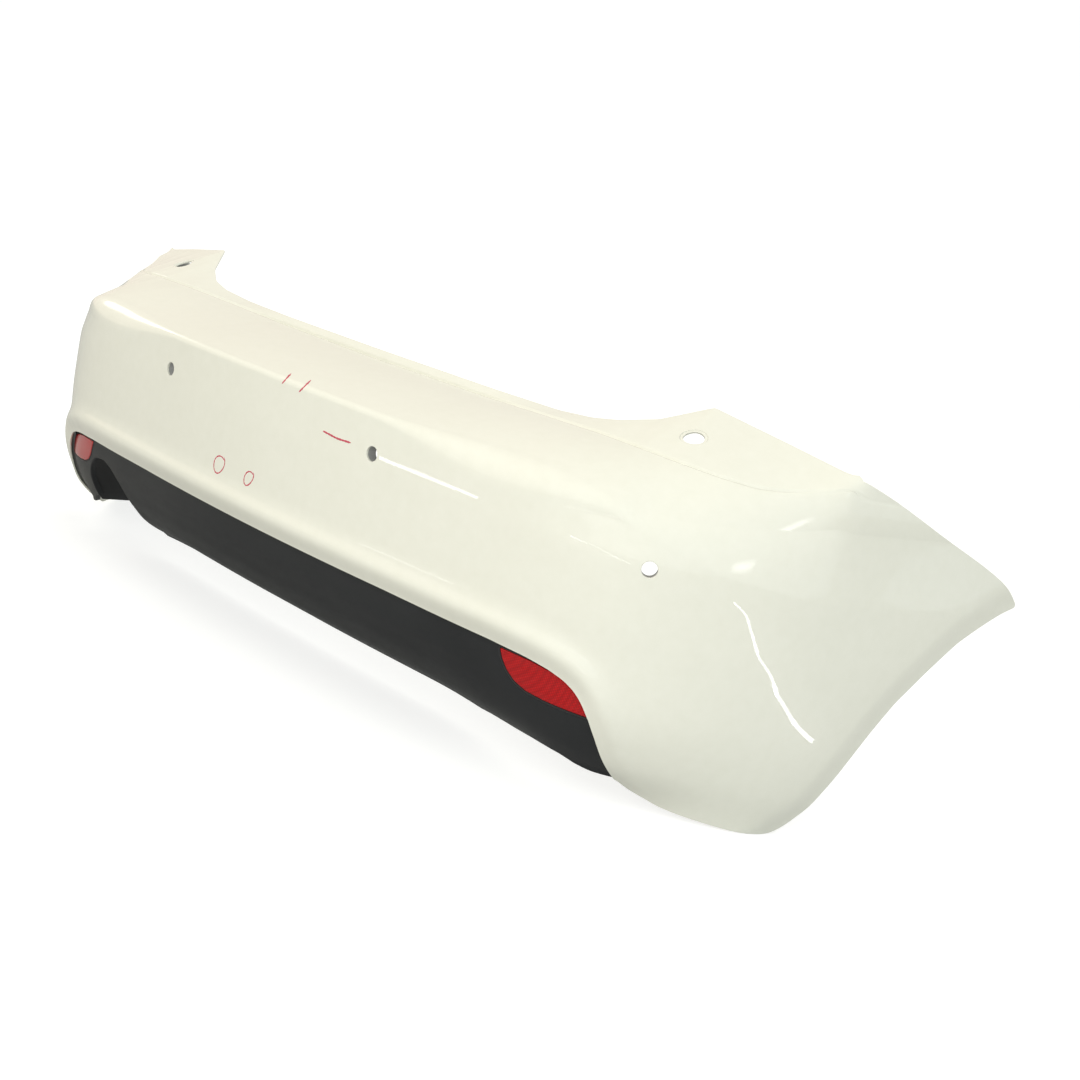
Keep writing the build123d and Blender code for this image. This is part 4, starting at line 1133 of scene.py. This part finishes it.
fl = bpy.data.meshes.new("floor")
R = 40.0
fl.from_pydata([(R * math.cos(a), R * math.sin(a), -0.0005) for a in [math.tau * k / 64 for k in range(64)]], [], [list(range(64))])
fl.materials.append(floor_material())
floor = bpy.data.objects.new("floor", fl)
bpy.context.scene.collection.objects.link(floor)

# room: warmer on one side, cooler on the other, a little brighter overhead
world = bpy.data.worlds.new("studio")
world.use_nodes = True
nt = world.node_tree
tc = nt.nodes.new("ShaderNodeTexCoord")
sep = nt.nodes.new("ShaderNodeSeparateXYZ")
nt.links.new(tc.outputs["Generated"], sep.inputs[0])
left = math_node(nt, "MULTIPLY_ADD", sep.outputs["X"], -0.62, 0.5, clamp=True)
tint = mixc(nt, left, (0.99, 1.045, 1.04), (1.0, 0.925, 0.80))
path = nt.nodes.new("ShaderNodeLightPath")
room = nt.nodes["Background"]
nt.links.new(tint, room.inputs["Color"])
depth = math_node(nt, "MULTIPLY_ADD", sep.outputs["Y"], -0.14, 0.965)
nt.links.new(math_node(nt, "MULTIPLY_ADD", sep.outputs["Z"], 0.03, depth), room.inputs["Strength"])
plain = nt.nodes.new("ShaderNodeBackground")
plain.inputs["Color"].default_value = (1.0, 1.0, 1.0, 1)
plain.inputs["Strength"].default_value = 1.02
both = nt.nodes.new("ShaderNodeMixShader")
nt.links.new(path.outputs["Is Camera Ray"], both.inputs[0])
nt.links.new(room.outputs[0], both.inputs[1])
nt.links.new(plain.outputs[0], both.inputs[2])
nt.links.new(both.outputs[0], nt.nodes["World Output"].inputs["Surface"])
bpy.context.scene.world = world


def panel(name, where, look, w, h, radiance, color=(1, 1, 1), across=None, glossy=True, diffuse=False, beam=0):
    """Rectangular light of a given radiance facing a point; w runs along across."""
    data = bpy.data.lights.new(name, "AREA")
    data.shape, data.size, data.size_y = "RECTANGLE", w, h
    data.energy, data.color = radiance * math.pi * w * h, color
    obj = bpy.data.objects.new(name, data)
    bpy.context.scene.collection.objects.link(obj)
    z = (Vector(where) - Vector(look)).normalized()
    x = Vector(across) if across else Vector((0, 0, 1)).cross(z)
    x = (x - z * x.dot(z)).normalized()
    y = z.cross(x)
    mw = Matrix((x, y, z)).transposed().to_4x4()
    mw.translation = Vector(where)
    obj.matrix_world = mw
    if beam:
        half = math.radians(beam) / 2
        data.spread = math.radians(beam)
        data.energy *= (math.tan(half) - half) / math.tan(half)
    obj.visible_camera, obj.visible_glossy, obj.visible_diffuse = False, glossy, diffuse
    return obj


def tube(name, points, looks, width, radiance, color=(1, 1, 1)):
    """Chain of thin strip lights."""
    for k, (a, b) in enumerate(zip(points, points[1:])):
        a, b = Vector(a), Vector(b)
        look = (Vector(looks[k]) + Vector(looks[k + 1])) * 0.5
        panel("%s_%d" % (name, k), (a + b) * 0.5, look, (b - a).length * 1.03, width, radiance, color, tuple(b - a))


panel("key", (1.3, -2.7, 1.15), (0.1, -0.2, 0.25), 2.0, 1.3, 3.0, (1.0, 0.99, 0.965), glossy=False, diffuse=True)
panel("box_near", (2.51, -0.47, 0.90), (0.72, -0.14, 0.355), 0.22, 0.40, 5.5, beam=10)
panel("box_far", (-2.2, -0.35, 1.2), (-0.4, -0.31, 0.39), 0.5, 1.0, 4.5, (1.0, 0.97, 0.90), beam=20)
tube("strip_mid", [(-0.289, -0.994, 0.110), (-0.026, -1.048, 0.091)],
     [(0.345, -0.315, 0.340)] * 2, 0.0065, 8.0)
tube("strip_near", [(0.60, -1.165, 0.228), (0.812, -1.136, 0.285), (1.098, -0.995, 0.164)],
     [(0.593, -0.264, 0.329)] * 3, 0.007, 8.0)
tube("strip_corner", [(1.705, -0.287, 0.136), (1.5, -0.10, 0.09), (1.32, 0.07, 0.027), (1.17, 0.13, 0.026), (1.12, 0.19, 0.01)],
     [(0.745, -0.111, 0.258), (0.755, -0.08, 0.23), (0.768, -0.05, 0.20), (0.78, -0.02, 0.17), (0.789, 0.008, 0.146)], 0.011, 9.0)

scene = bpy.context.scene
scene.view_settings.view_transform = "Standard"
scene.view_settings.look = "None"

bpy.context.view_layer.update()
